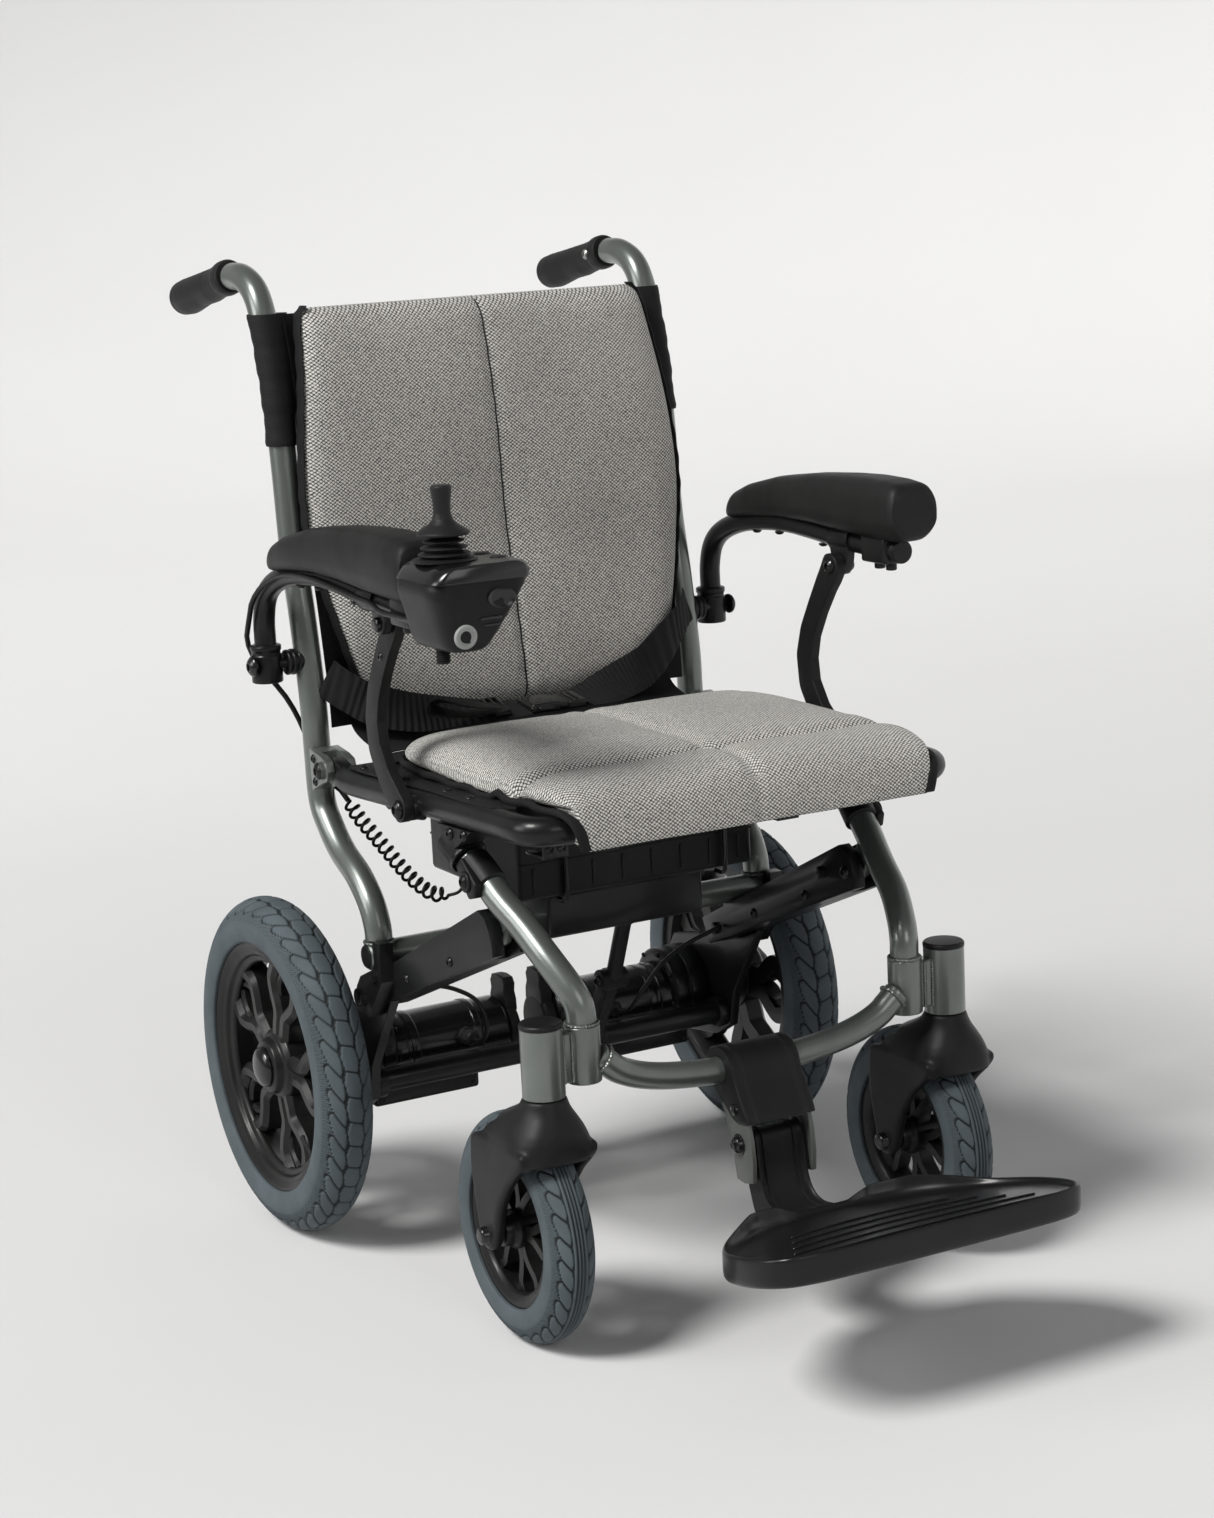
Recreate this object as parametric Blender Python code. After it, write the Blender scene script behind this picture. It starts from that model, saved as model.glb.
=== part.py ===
"""Folding power wheelchair: welded tube frame, hub-flange drive motors, casters, arms and seat.

Metres, +Z up, the occupant faces -Y, X = 0 is the chair's middle plane.
"right" is the occupant's right hand (-X), "left" the left hand (+X).
"""
import math

import bmesh
import bpy
from mathutils import Matrix, Vector

# ---------------------------------------------------------------- driving dimensions
SIDES = (("right", -1.0), ("left", 1.0))
GAP = 0.0004                    # clearance between pieces that touch
TRACK_X = 0.250                 # rear wheel centre plane
WHEEL_Y, WHEEL_Z = 0.2335, 0.1575
WHEEL_R, WHEEL_HALF = 0.1575, 0.026
RIM_R = 0.1165
CASTER_X, STEM_Y = 0.200, -0.1925
CASTER_Y, CASTER_Z = -0.1455, 0.099
CASTER_R, CASTER_HALF = 0.099, 0.021
CASTER_RIM_R = 0.066
FRAME_X = 0.200                 # seat and back tubes
TUBE_R = 0.0125
FOLD = (-0.093, 0.338)          # chassis hinge in the beam's front end (y, z)
LATCH = (0.1145, 0.279)         # rear cross tube, resting in the cradles
BACK_HINGE = (0.1835, 0.439)    # back frame on the seat frame
ARM_X = 0.2372
ARM_HINGE = (0.2415, 0.533)     # arm tube on the back frame
LINK_TOP = (-0.0055, 0.5975)
LINK_FOOT = (-0.0015, 0.436)
FOOT_HINGE = (-0.2190, 0.156)
MOTOR_R, MOTOR_IN, MOTOR_OUT = 0.0345, 0.026, 0.1895
MOTOR_Z = 0.1505                  # the motor sits a little below its gearbox's output
STICK = (-0.2475, -0.163)       # joystick axis (x, y)
STICK_PIVOT_Z = 0.656
PIN_R = 0.0045

SKIN = {
    "frame_paint": ((0.19, 0.20, 0.18), 0.35, 0.8),
    "black_coat": ((0.018, 0.018, 0.019), 0.45, 0.4),
    "cast_black": ((0.022, 0.022, 0.023), 0.5, 0.3),
    "plastic": ((0.02, 0.02, 0.021), 0.5, 0.0),
    "rubber": ((0.014, 0.014, 0.014), 0.8, 0.0),
    "tyre": ((0.085, 0.10, 0.11), 0.85, 0.0),
    "fabric": ((0.42, 0.40, 0.37), 0.95, 0.0),
    "webbing": ((0.012, 0.012, 0.013), 0.9, 0.0),
    "steel": ((0.30, 0.30, 0.30), 0.3, 1.0),
}


# ---------------------------------------------------------------- shells: (vertices, faces)
def revolve(profile, centre, axis="X", sides=16, sign=1.0, phase=0.5):
    """Turn a profile of (along, radius) pairs about an axis line; radius 0 closes an end."""
    verts = []
    rings = []
    for along, radius in profile:
        if radius < 1e-6:
            rings.append([len(verts)])
            verts.append((along * sign, 0.0, 0.0))
            continue
        ring = []
        for i in range(sides):
            angle = 2 * math.pi * (i + phase) / sides
            ring.append(len(verts))
            verts.append((along * sign, radius * math.cos(angle), radius * math.sin(angle)))
        rings.append(ring)
    closed = profile[0][1] > 1e-6
    pairs = list(zip(rings, rings[1:]))
    if closed:
        pairs.append((rings[-1], rings[0]))
    faces = []
    for a, b in pairs:
        for i in range(sides):
            j = (i + 1) % sides
            if len(a) == 1:
                faces.append((a[0], b[i], b[j]))
            elif len(b) == 1:
                faces.append((a[i], b[0], a[j]))
            else:
                faces.append((a[i], b[i], b[j], a[j]))
    turn = {"X": (0, 1, 2), "Y": (2, 0, 1), "Z": (1, 2, 0)}[axis]
    placed = []
    for v in verts:
        placed.append(tuple(v[turn[k]] + centre[k] for k in range(3)))
    return placed, faces


def rod(start, end, radius, sides=10, axis="X"):
    """Solid cylinder along a coordinate axis between two values of (axis, other two)."""
    k = "XYZ".index(axis)
    length = end[k] - start[k]
    sign = 1.0 if length > 0 else -1.0
    profile = [(0.0, 0.0), (0.0, radius), (abs(length), radius), (abs(length), 0.0)]
    return revolve(profile, start, axis, sides, sign)


def sweep(points, radius, sides=10):
    """Round bar along a path, with flat ends."""
    path = [Vector(p) for p in points]
    count = len(path)
    radii = radius if isinstance(radius, (list, tuple)) else [radius] * count
    tangents = []
    for i in range(count):
        a = path[max(i - 1, 0)]
        b = path[min(i + 1, count - 1)]
        before = (path[i] - a).normalized() if i else (b - path[i]).normalized()
        after = (b - path[i]).normalized() if i < count - 1 else before
        tangents.append((before + after).normalized())
    normal = tangents[0].orthogonal().normalized()
    verts = []
    for i in range(count):
        t = tangents[i]
        normal = (normal - t * normal.dot(t)).normalized()
        side = t.cross(normal)
        seg = (path[i] - path[i - 1]).normalized() if i else t
        mitre = 1.0 / max(0.7, abs(seg.dot(t)))
        bend = (seg - t * seg.dot(t))
        for k in range(sides):
            angle = 2 * math.pi * (k + 0.5) / sides
            off = (normal * math.cos(angle) + side * math.sin(angle)) * radii[i]
            if bend.length > 1e-6:
                way = bend.normalized()
                off += way * off.dot(way) * (mitre - 1.0)
            verts.append(tuple(path[i] + off))
    faces = []
    for i in range(count - 1):
        for k in range(sides):
            j = (k + 1) % sides
            faces.append((i * sides + k, i * sides + j, (i + 1) * sides + j, (i + 1) * sides + k))
    faces.append(tuple(reversed(range(sides))))
    faces.append(tuple((count - 1) * sides + k for k in range(sides)))
    return verts, faces


def loft(sections):
    """Skin over rings of equal count, closed by flat ends."""
    sides = len(sections[0])
    verts = [tuple(p) for ring in sections for p in ring]
    faces = []
    for i in range(len(sections) - 1):
        for k in range(sides):
            j = (k + 1) % sides
            faces.append((i * sides + k, i * sides + j, (i + 1) * sides + j, (i + 1) * sides + k))
    faces.append(tuple(reversed(range(sides))))
    last = (len(sections) - 1) * sides
    faces.append(tuple(last + k for k in range(sides)))
    return verts, faces


def prism(outline, axis, low, high):
    """Extrude a closed outline of the two other coordinates between low and high on axis."""
    def place(point, value):
        a, b = point
        return {"X": (value, a, b), "Y": (a, value, b), "Z": (a, b, value)}[axis]

    return loft([[place(p, low) for p in outline], [place(p, high) for p in outline]])


def block(low, high, chamfer=0.0):
    """Box between two corners, its upright (Z) edges chamfered."""
    c = chamfer
    (x0, y0, z0), (x1, y1, z1) = low, high
    if not c:
        outline = [(x0, y0), (x1, y0), (x1, y1), (x0, y1)]
    else:
        outline = [
            (x0 + c, y0), (x1 - c, y0), (x1, y0 + c), (x1, y1 - c),
            (x1 - c, y1), (x0 + c, y1), (x0, y1 - c), (x0, y0 + c),
        ]
    return prism(outline, "Z", z0, z1)


def soft_block(low, high, chamfer):
    """Box whose vertical and horizontal edges are all chamfered."""
    (x0, y0, z0), (x1, y1, z1) = low, high
    rings = []
    for z, inset in ((z0, chamfer), (z0 + chamfer, 0.0), (z1 - chamfer, 0.0), (z1, chamfer)):
        c = chamfer * 0.8
        a, b, d, e = x0 + inset, x1 - inset, y0 + inset, y1 - inset
        rings.append([
            (a + c, d, z), (b - c, d, z), (b, d + c, z), (b, e - c, z),
            (b - c, e, z), (a + c, e, z), (a, e - c, z), (a, d + c, z),
        ])
    return loft(rings)


def mirrored(shell, sign):
    """The shell as drawn for +X, or its mirror image for -X."""
    verts, faces = shell
    if sign > 0:
        return shell
    return [(-x, y, z) for x, y, z in verts], [tuple(reversed(f)) for f in faces]


def moved(shell, matrix):
    verts, faces = shell
    return [tuple(matrix @ Vector(v)) for v in verts], faces


# ---------------------------------------------------------------- objects
def as_mesh(shell, name):
    mesh = bpy.data.meshes.new(name)
    mesh.from_pydata([Vector(v) for v in shell[0]], [], shell[1])
    work = bmesh.new()
    work.from_mesh(mesh)
    bmesh.ops.remove_doubles(work, verts=work.verts, dist=1e-6)
    bmesh.ops.recalc_face_normals(work, faces=work.faces)
    work.to_mesh(mesh)
    work.free()
    return mesh


def combine(base, other, operation):
    """Exact Boolean of two shells."""
    made = []
    for label, shell in (("base", base), ("other", other)):
        obj = bpy.data.objects.new("work_" + label, as_mesh(shell, "work_" + label))
        bpy.context.collection.objects.link(obj)
        made.append(obj)
    step = made[0].modifiers.new("step", "BOOLEAN")
    step.operation = operation
    step.solver = "EXACT"
    step.object = made[1]
    graph = bpy.context.evaluated_depsgraph_get()
    result = made[0].evaluated_get(graph).to_mesh()
    verts = [tuple(v.co) for v in result.vertices]
    faces = [tuple(p.vertices) for p in result.polygons]
    for obj in made:
        bpy.data.objects.remove(obj, do_unlink=True)
    return verts, faces


def union(*shells):
    total = shells[0]
    for shell in shells[1:]:
        total = combine(total, shell, "UNION")
    return total


def minus(shell, *cutters):
    for cutter in cutters:
        shell = combine(shell, cutter, "DIFFERENCE")
    return shell


def piece(name, shell, skin, origin=(0.0, 0.0, 0.0), smooth=True):
    """A named sub-part with its own material and its origin on its joint axis."""
    mesh = as_mesh(shell, name)
    mesh.transform(Matrix.Translation(-Vector(origin)))
    obj = bpy.data.objects.new(name, mesh)
    obj.location = origin
    bpy.context.collection.objects.link(obj)
    colour, roughness, metallic = SKIN[skin]
    material = bpy.data.materials.new(name)
    material.use_nodes = True
    shader = material.node_tree.nodes["Principled BSDF"]
    shader.inputs["Base Color"].default_value = (*colour, 1.0)
    shader.inputs["Roughness"].default_value = roughness
    shader.inputs["Metallic"].default_value = metallic
    mesh.materials.append(material)
    if smooth:
        mesh.shade_smooth()
        mesh.set_sharp_from_angle(angle=math.radians(35))
    return obj


# ---------------------------------------------------------------- rear chassis
def cradle():
    """Hooked plate welded to the beam's outer face; the rear cross tube drops into it."""
    y, z = LATCH
    wall = y - TUBE_R - GAP
    outline = [
        (0.088, 0.2955), (wall, 0.2955), (wall, z - 0.0085), (0.1330, 0.2568),
        (0.1420, 0.2460), (0.1520, 0.2220), (0.1180, 0.2220), (0.088, 0.2600),
    ]
    return prism(outline, "X", 0.1990, 0.2125)


def beam(sign):
    """Black box beam; its slotted front end holds the frame's hinge lug on a cross pin."""
    fy, fz = FOLD
    outline = [
        (0.1565, 0.2440), (-0.0885, 0.3605), (-0.1010, 0.3550), (-0.1075, 0.3448),
        (-0.1120, 0.3330), (-0.1120, 0.3245), (0.1435, 0.2210),
    ]
    solid = prism(outline, "X", 0.162, 0.200)
    along = Vector((-0.906, 0.423))
    across = Vector((0.423, 0.906))
    slot = []
    for u, v in ((-0.0135, -0.045), (-0.0135, 0.045), (0.045, 0.045), (0.045, -0.045)):
        corner = Vector((fy, fz)) + along * u + across * v
        slot.append((corner.x, corner.y))
    solid = minus(solid, prism(slot, "X", 0.1735, 0.1885))
    parts = [solid, cradle(), rod((0.168, fy, fz), (0.194, fy, fz), PIN_R, 10)]
    for y, z in ((-0.0595, 0.330), (0.1300, 0.2390)):
        parts.append(rod((0.1640, y, z), (0.1575, y, z), 0.0060, 6))
    for y, z in ((0.125, 0.236), (0.1000, 0.2630)):
        parts.append(rod((0.2100, y, z), (0.2160, y, z), 0.0050, 6))
    return mirrored(union(*parts), sign)


def motor(sign):
    """Gear motor lying across the chair, its flange against the mounting plate."""
    profile = [
        (MOTOR_IN, 0.0), (MOTOR_IN, 0.0285), (0.0300, 0.0325), (0.0580, 0.0325), (0.0600, MOTOR_R),
        (0.1560, MOTOR_R), (0.1560, 0.0),
    ]
    winding = revolve(profile, (0.0, WHEEL_Y, MOTOR_Z), "X", 20)
    profile = [(0.1500, 0.0), (0.1500, 0.0385), (0.1530, 0.0405), (MOTOR_OUT, 0.0405), (MOTOR_OUT, 0.0)]
    body = union(winding, revolve(profile, (0.0, WHEEL_Y, WHEEL_Z), "X", 20))
    casing = block((0.062, 0.2080, 0.1040), (0.172, 0.2590, 0.1260), 0.004)
    gland = rod((0.078, 0.2080, 0.1600), (0.078, 0.1900, 0.1600), 0.0075, 8, "Y")
    return mirrored(union(body, casing, gland), sign)


def motor_mount(sign):
    """Plate from under the beam's rear end to the gearbox, with the flange boss on it."""
    outline = [
        (0.100, 0.2378), (0.1440, 0.2199), (0.165, 0.2150), (0.215, 0.2120), (0.262, 0.2020),
        (0.285, 0.1650), (0.275, 0.1250), (0.235, 0.1080), (0.185, 0.1150), (0.158, 0.1300),
        (0.150, 0.1650), (0.130, 0.1950),
    ]
    plate = prism(outline, "X", 0.1899, 0.1990)
    parts = [plate, rod((0.198, WHEEL_Y, WHEEL_Z), (0.2105, WHEEL_Y, WHEEL_Z), 0.034, 16)]
    for y, z in ((0.272, 0.170), (0.190, 0.124)):
        parts.append(rod((0.1980, y, z), (0.2035, y, z), 0.0050, 6))
    return mirrored(union(*parts), sign)


def rear_tyre(sign):
    h = WHEEL_HALF
    profile = [
        (-0.020, 0.1172), (-h, 0.1300), (-0.0245, 0.1450), (-0.0150, 0.1550), (0.0, WHEEL_R),
        (0.0150, 0.1550), (0.0245, 0.1450), (h, 0.1300), (0.020, 0.1172),
    ]
    return revolve(profile, (sign * TRACK_X, WHEEL_Y, WHEEL_Z), "X", 28, phase=0.0)


def spokes(count, inner, outer, width, back, front, spread):
    """Pairs of flat bars from hub to rim, drawn about the X axis through the origin."""
    bars = []
    for i in range(count):
        for side in (-1, 1):
            outline = [
                (side * spread * 0.55 - width, inner), (side * spread * 0.55 + width, inner),
                (side * spread + width, outer), (side * spread - width, outer),
            ]
            bar = prism(outline, "X", back, front)
            bars.append(moved(bar, Matrix.Rotation(2 * math.pi * i / count, 4, "X")))
    return bars


def rear_rim(sign):
    ring = revolve(
        [(-0.020, RIM_R), (-0.020, 0.1070), (0.020, 0.1070), (0.020, RIM_R)], (0, 0, 0), "X", 28,
        phase=0.0,
    )
    hub = revolve(
        [
            (-0.0385, 0.0), (-0.0385, 0.028), (-0.014, 0.028), (-0.012, 0.034), (0.010, 0.034),
            (0.012, 0.023), (0.023, 0.021), (0.0285, 0.012), (0.0300, 0.0),
        ],
        (0, 0, 0), "X", 16,
    )
    whole = union(ring, hub, *spokes(5, 0.026, 0.109, 0.0045, -0.010, 0.006, 0.017))
    placed = moved(mirrored(whole, sign), Matrix.Translation((sign * TRACK_X, WHEEL_Y, WHEEL_Z)))
    return placed


def clutch_lever(sign):
    """Winged collar on the motor's inner end that frees the drive."""
    collar = rod((0.0130, WHEEL_Y, MOTOR_Z), (0.0256, WHEEL_Y, MOTOR_Z), 0.0275, 16)
    wing = block((0.0130, 0.2180, 0.1680), (0.0256, 0.2490, 0.2030), 0.0)
    return mirrored(union(collar, wing), sign)


def prop_strut():
    """Clamp on the axle tube carrying a short post that stops under the battery tray."""
    clamp = rod((0.028, 0.172, 0.142), (0.052, 0.172, 0.142), 0.0160, 12)
    arm = prism([(0.160, 0.139), (0.172, 0.156), (0.130, 0.222), (0.112, 0.214)], "X", 0.034, 0.046)
    post = sweep([(0.040, 0.122, 0.206), (0.040, 0.0870, 0.2880)], 0.0075, 8)
    knob = rod((0.026, 0.122, 0.212), (0.054, 0.122, 0.212), 0.0105, 10)
    whole = union(clamp, arm, knob, post)
    return minus(whole, rod((0.020, 0.172, 0.142), (0.060, 0.172, 0.142), 0.0113, 12))


def build_chassis():
    for side, sign in SIDES:
        piece("rear_beam_" + side, beam(sign), "black_coat")
        hub = (sign * MOTOR_IN, WHEEL_Y, MOTOR_Z)
        piece("motor_" + side, motor(sign), "black_coat")
        piece("motor_mount_" + side, motor_mount(sign), "black_coat")
        piece("clutch_lever_" + side, clutch_lever(sign), "plastic", hub)
        axle = (sign * TRACK_X, WHEEL_Y, WHEEL_Z)
        piece("rear_tyre_" + side, rear_tyre(sign), "tyre", axle)
        piece("rear_rim_" + side, rear_rim(sign), "cast_black", axle)
    piece("axle_tube", rod((-0.1895, 0.172, 0.142), (0.1895, 0.172, 0.142), 0.011, 12), "black_coat")
    piece("prop_strut", prop_strut(), "black_coat")


# ---------------------------------------------------------------- back frame
BACK_PATH = [
    (0.3490, 0.8790), (0.3250, 0.8780), (0.3010, 0.8680), (0.2860, 0.8490), (0.2755, 0.8180),
    (0.2640, 0.7700), (0.2565, 0.7060), (0.2500, 0.6300), (0.2385, 0.5690), (0.2275, 0.4960),
    (0.2255, 0.4550), (0.2220, 0.4050), (0.2060, 0.3820), (0.1825, 0.3620), (0.1500, 0.3450),
    (0.1270, 0.3250), (0.1165, 0.3060), (0.1145, 0.2921),
]


def tube_y(z):
    """The back tube's centre, behind the back cushion, at a height."""
    pairs = [p for p in BACK_PATH[3:12]]
    for (y1, z1), (y0, z0) in zip(pairs, pairs[1:]):
        if z0 <= z <= z1:
            return y0 + (y1 - y0) * (z - z0) / (z1 - z0)
    return pairs[0][0] if z > pairs[0][1] else pairs[-1][0]


def hinge_casting(sign):
    """Forked casting in front of the back tube; its pin carries the seat tube's eye."""
    y, z = BACK_HINGE
    cheek = [
        (0.2105, z + 0.016), (y + 0.002, z + 0.0125), (y - 0.009, z + 0.009), (y - 0.0125, z),
        (y - 0.009, z - 0.009), (y + 0.002, z - 0.0125), (0.2085, z - 0.022),
    ]
    web = [(0.2105, z + 0.016), (0.1985, z + 0.014), (0.1985, z - 0.015), (0.2085, z - 0.022)]
    parts = [prism(web, "X", 0.1862, 0.2138)]
    parts.append(prism(cheek, "X", 0.2074, 0.2145))
    parts.append(prism(cheek, "X", 0.1855, 0.1926))
    parts.append(rod((0.1830, y, z), (0.2190, y, z), PIN_R, 10))
    parts.append(rod((0.2140, y, z), (0.2190, y, z), 0.0085, 10))
    return mirrored(union(*parts), sign)


def back_tube(sign):
    """Bent back tube; a stub near its middle carries the pin and outer knob of the arm hinge."""
    y, z = ARM_HINGE
    tube = sweep([(FRAME_X, a, b) for a, b in BACK_PATH], TUBE_R, 10)
    stub = rod((0.2060, y - 0.007, z), (0.2222, y - 0.007, z), 0.0120, 12)
    pin = rod((0.2160, y, z), (0.2560, y, z), 0.0050, 10)
    knob = rod((0.2522, y, z), (0.2585, y, z), 0.0095, 10)
    return mirrored(union(tube, stub, pin, knob), sign)


def push_grip(sign):
    x = sign * FRAME_X
    points = [
        (x, 0.3530, 0.8788), (x, 0.3570, 0.8781), (x, 0.3900, 0.8720), (x, 0.4400, 0.8626),
        (x, 0.4750, 0.8562), (x, 0.4800, 0.8553),
    ]
    return sweep(points, [0.0145, 0.0163, 0.0152, 0.0160, 0.0165, 0.0130], 12)


BACK_ROWS = [
    (0.472, 0.146, 0.72), (0.482, 0.156, 1.0), (0.530, 0.170, 1.0), (0.600, 0.187, 1.0),
    (0.660, 0.1965, 1.0), (0.720, 0.194, 1.0), (0.790, 0.185, 1.0), (0.838, 0.179, 1.0),
    (0.850, 0.170, 0.72),
]


def back_cushion():
    rings = []
    for z, half, fill in BACK_ROWS:
        rear = tube_y(z) - TUBE_R - 0.0045
        depth = 0.027
        mid = rear - depth / 2
        d = depth / 2 * fill
        rings.append([
            (-half, mid + d * 0.6, z), (-half, mid - d * 0.5, z), (-half + 0.012, mid - d, z),
            (0.0, mid - d * 0.80, z), (half - 0.012, mid - d, z), (half, mid - d * 0.5, z),
            (half, mid + d * 0.6, z), (half - 0.012, mid + d, z), (0.0, mid + d, z),
            (-half + 0.012, mid + d, z),
        ])
    return loft(rings)


def back_sling():
    """Taut sheet between the back tubes, behind the cushion."""
    front = []
    rear = []
    for z in (0.470, 0.530, 0.600, 0.660, 0.720, 0.780, 0.838):
        centre = tube_y(z) - 0.006
        front.append((centre - 0.0035, z))
        rear.append((centre + 0.0005, z))
    return prism(front + rear[::-1], "X", -0.1865, 0.1865)


def build_back():
    for side, sign in SIDES:
        origin = (sign * FRAME_X, *BACK_HINGE)
        piece("back_tube_" + side, back_tube(sign), "frame_paint", origin)
        piece("push_grip_" + side, push_grip(sign), "rubber")
        piece("hinge_casting_" + side, hinge_casting(sign), "cast_black", origin)
    y, z = LATCH
    piece("rear_cross_tube", rod((-0.2130, y, z), (0.2130, y, z), TUBE_R, 14), "frame_paint")
    piece("back_cushion", back_cushion(), "fabric")
    piece("back_sling", back_sling(), "webbing")


# ---------------------------------------------------------------- seat frame
def seat_tube(sign):
    """Side rail from the back hinge's eye to the front, with the arm link's pin on its side."""
    y, z = BACK_HINGE
    path = [
        (0.200, 0.1660, 0.4350), (0.200, 0.1475, 0.4320), (0.200, 0.0105, 0.4385),
        (0.200, -0.1305, 0.4440), (0.200, -0.1720, 0.4450), (0.195, -0.1880, 0.4450),
        (0.182, -0.1970, 0.4450), (0.160, -0.1995, 0.4450), (0.130, -0.1995, 0.4450),
    ]
    rail = sweep(path, TUBE_R, 10)
    eye = [
        (0.160, z - 0.010), (y - 0.004, z - 0.0105), (y + 0.007, z - 0.008), (y + 0.011, z),
        (y + 0.007, z + 0.008), (y - 0.004, z + 0.0105), (0.160, z + 0.004),
    ]
    tongue = prism(eye, "X", 0.1934, 0.2066)
    tongue = minus(tongue, rod((0.180, y, z), (0.220, y, z), PIN_R + 0.0004, 10))
    y, z = LINK_FOOT
    spacer = rod((0.2040, y, z), (0.2161, y, z), 0.0110, 12)
    pin = rod((0.2140, y, z), (0.2310, y, z), PIN_R, 10)
    head = rod((0.2267, y, z), (0.2310, y, z), 0.0085, 10)
    return mirrored(union(rail, tongue, spacer, pin, head), sign)


def seat_cushion():
    rows = [
        (0.1060, 0.160, 0.4540, 0.4640), (0.1000, 0.172, 0.4525, 0.4720),
        (0.0800, 0.181, 0.4525, 0.4810), (0.0200, 0.186, 0.4525, 0.4850),
        (-0.0900, 0.186, 0.4575, 0.4850), (-0.1350, 0.186, 0.4590, 0.4800),
        (-0.1500, 0.186, 0.4590, 0.4800), (-0.1800, 0.184, 0.4590, 0.4850),
        (-0.2060, 0.178, 0.4590, 0.4780), (-0.2200, 0.170, 0.4560, 0.4640),
    ]
    rings = []
    for y, half, low, high in rows:
        mid = (low + high) / 2
        rings.append([
            (-half, y, mid - 0.004), (-half + 0.010, y, low), (0.0, y, low),
            (half - 0.010, y, low), (half, y, mid - 0.004), (half, y, mid + 0.004),
            (half - 0.014, y, high), (0.0, y, high - 0.002), (-half + 0.014, y, high),
            (-half, y, mid + 0.004),
        ])
    pad = loft(rings)
    flap = block((-0.1800, 0.0900, 0.4525), (0.1800, 0.1450, 0.4555))
    hem = prism(
        [(-0.2150, 0.4630), (-0.2238, 0.4600), (-0.2260, 0.4300), (-0.2222, 0.4290), (-0.2150, 0.4580)],
        "X", -0.165, 0.165,
    )
    return union(pad, flap, hem)


def seat_bars():
    """Ladder under the cushion: two cross bars and two rails that the battery box hangs on."""
    parts = [
        rod((-0.1870, 0.1050, 0.4210), (0.1870, 0.1050, 0.4210), 0.0090, 10),
        rod((-0.1870, -0.1150, 0.4340), (0.1870, -0.1150, 0.4340), 0.0090, 10),
    ]
    for x in (-0.090, 0.090):
        parts.append(block((x - 0.011, -0.1210, 0.4004), (x + 0.011, 0.1120, 0.4290)))
    return union(*parts)


def build_seat():
    for side, sign in SIDES:
        piece("seat_tube_" + side, seat_tube(sign), "black_coat")
    piece("seat_cross_bars", seat_bars(), "black_coat")
    piece("seat_cushion", seat_cushion(), "fabric")
    piece("battery_pack", soft_block((-0.120, -0.010, 0.3370), (0.120, 0.165, 0.4000), 0.005), "plastic")
    piece("battery_tray", soft_block((-0.080, 0.013, 0.2930), (0.080, 0.098, 0.3366), 0.004), "black_coat")


# ---------------------------------------------------------------- front frame
LEG_PATH = [
    (0.1920, -0.0635, 0.4000), (0.1890, -0.0775, 0.3900), (0.1850, -0.1025, 0.3700),
    (0.1780, -0.1305, 0.3500), (0.1730, -0.1575, 0.3300), (0.1660, -0.1780, 0.3100),
    (0.1618, -0.1875, 0.2960), (0.1605, -0.1895, 0.2850), (0.1605, -0.1895, 0.2786),
]


def leg_tube(sign):
    """Bent leg with the lug of the chassis hinge welded to its rear side."""
    fy, fz = FOLD
    tube = sweep(LEG_PATH, TUBE_R, 10)
    lug = prism(
        [
            (-0.1200, 0.3620), (-0.1040, 0.3720), (fy + 0.004, fz + 0.0105),
            (fy + 0.0105, fz + 0.003), (fy + 0.0085, fz - 0.007), (fy - 0.001, fz - 0.0110),
            (fy - 0.009, fz - 0.006),
        ],
        "X", 0.1762, 0.1862,
    )
    lug = minus(lug, rod((0.16, fy, fz), (0.20, fy, fz), PIN_R + 0.0005, 10))
    return mirrored(union(tube, lug), sign)


def stem_tube(sign):
    """Caster housing: upright tube, its web and the socket the leg is welded into."""
    outer = rod((CASTER_X, STEM_Y, 0.2246), (CASTER_X, STEM_Y, 0.2870), 0.0180, 16, "Z")
    socket = rod((0.1605, -0.1895, 0.2295), (0.1605, -0.1895, 0.2781), 0.0150, 12, "Z")
    web = block((0.165, -0.1985, 0.2330), (0.195, -0.1845, 0.2750))
    bore = rod((CASTER_X, STEM_Y, 0.2200), (CASTER_X, STEM_Y, 0.2790), 0.0095, 12, "Z")
    return mirrored(minus(union(outer, socket, web), bore), sign)


def leg_ferrule(sign):
    """Cast collar on the leg's top end with the bracket up to the seat rail."""
    collar = sweep([(0.1922, -0.0632, 0.4004), (0.1960, -0.0430, 0.4150)], 0.0165, 12)
    bracket = prism(
        [
            (-0.0980, 0.4300), (-0.0350, 0.4275), (-0.0340, 0.4160), (-0.0500, 0.4020),
            (-0.0735, 0.4145),
        ],
        "X", 0.1850, 0.2070,
    )
    return mirrored(union(collar, bracket), sign)


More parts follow.
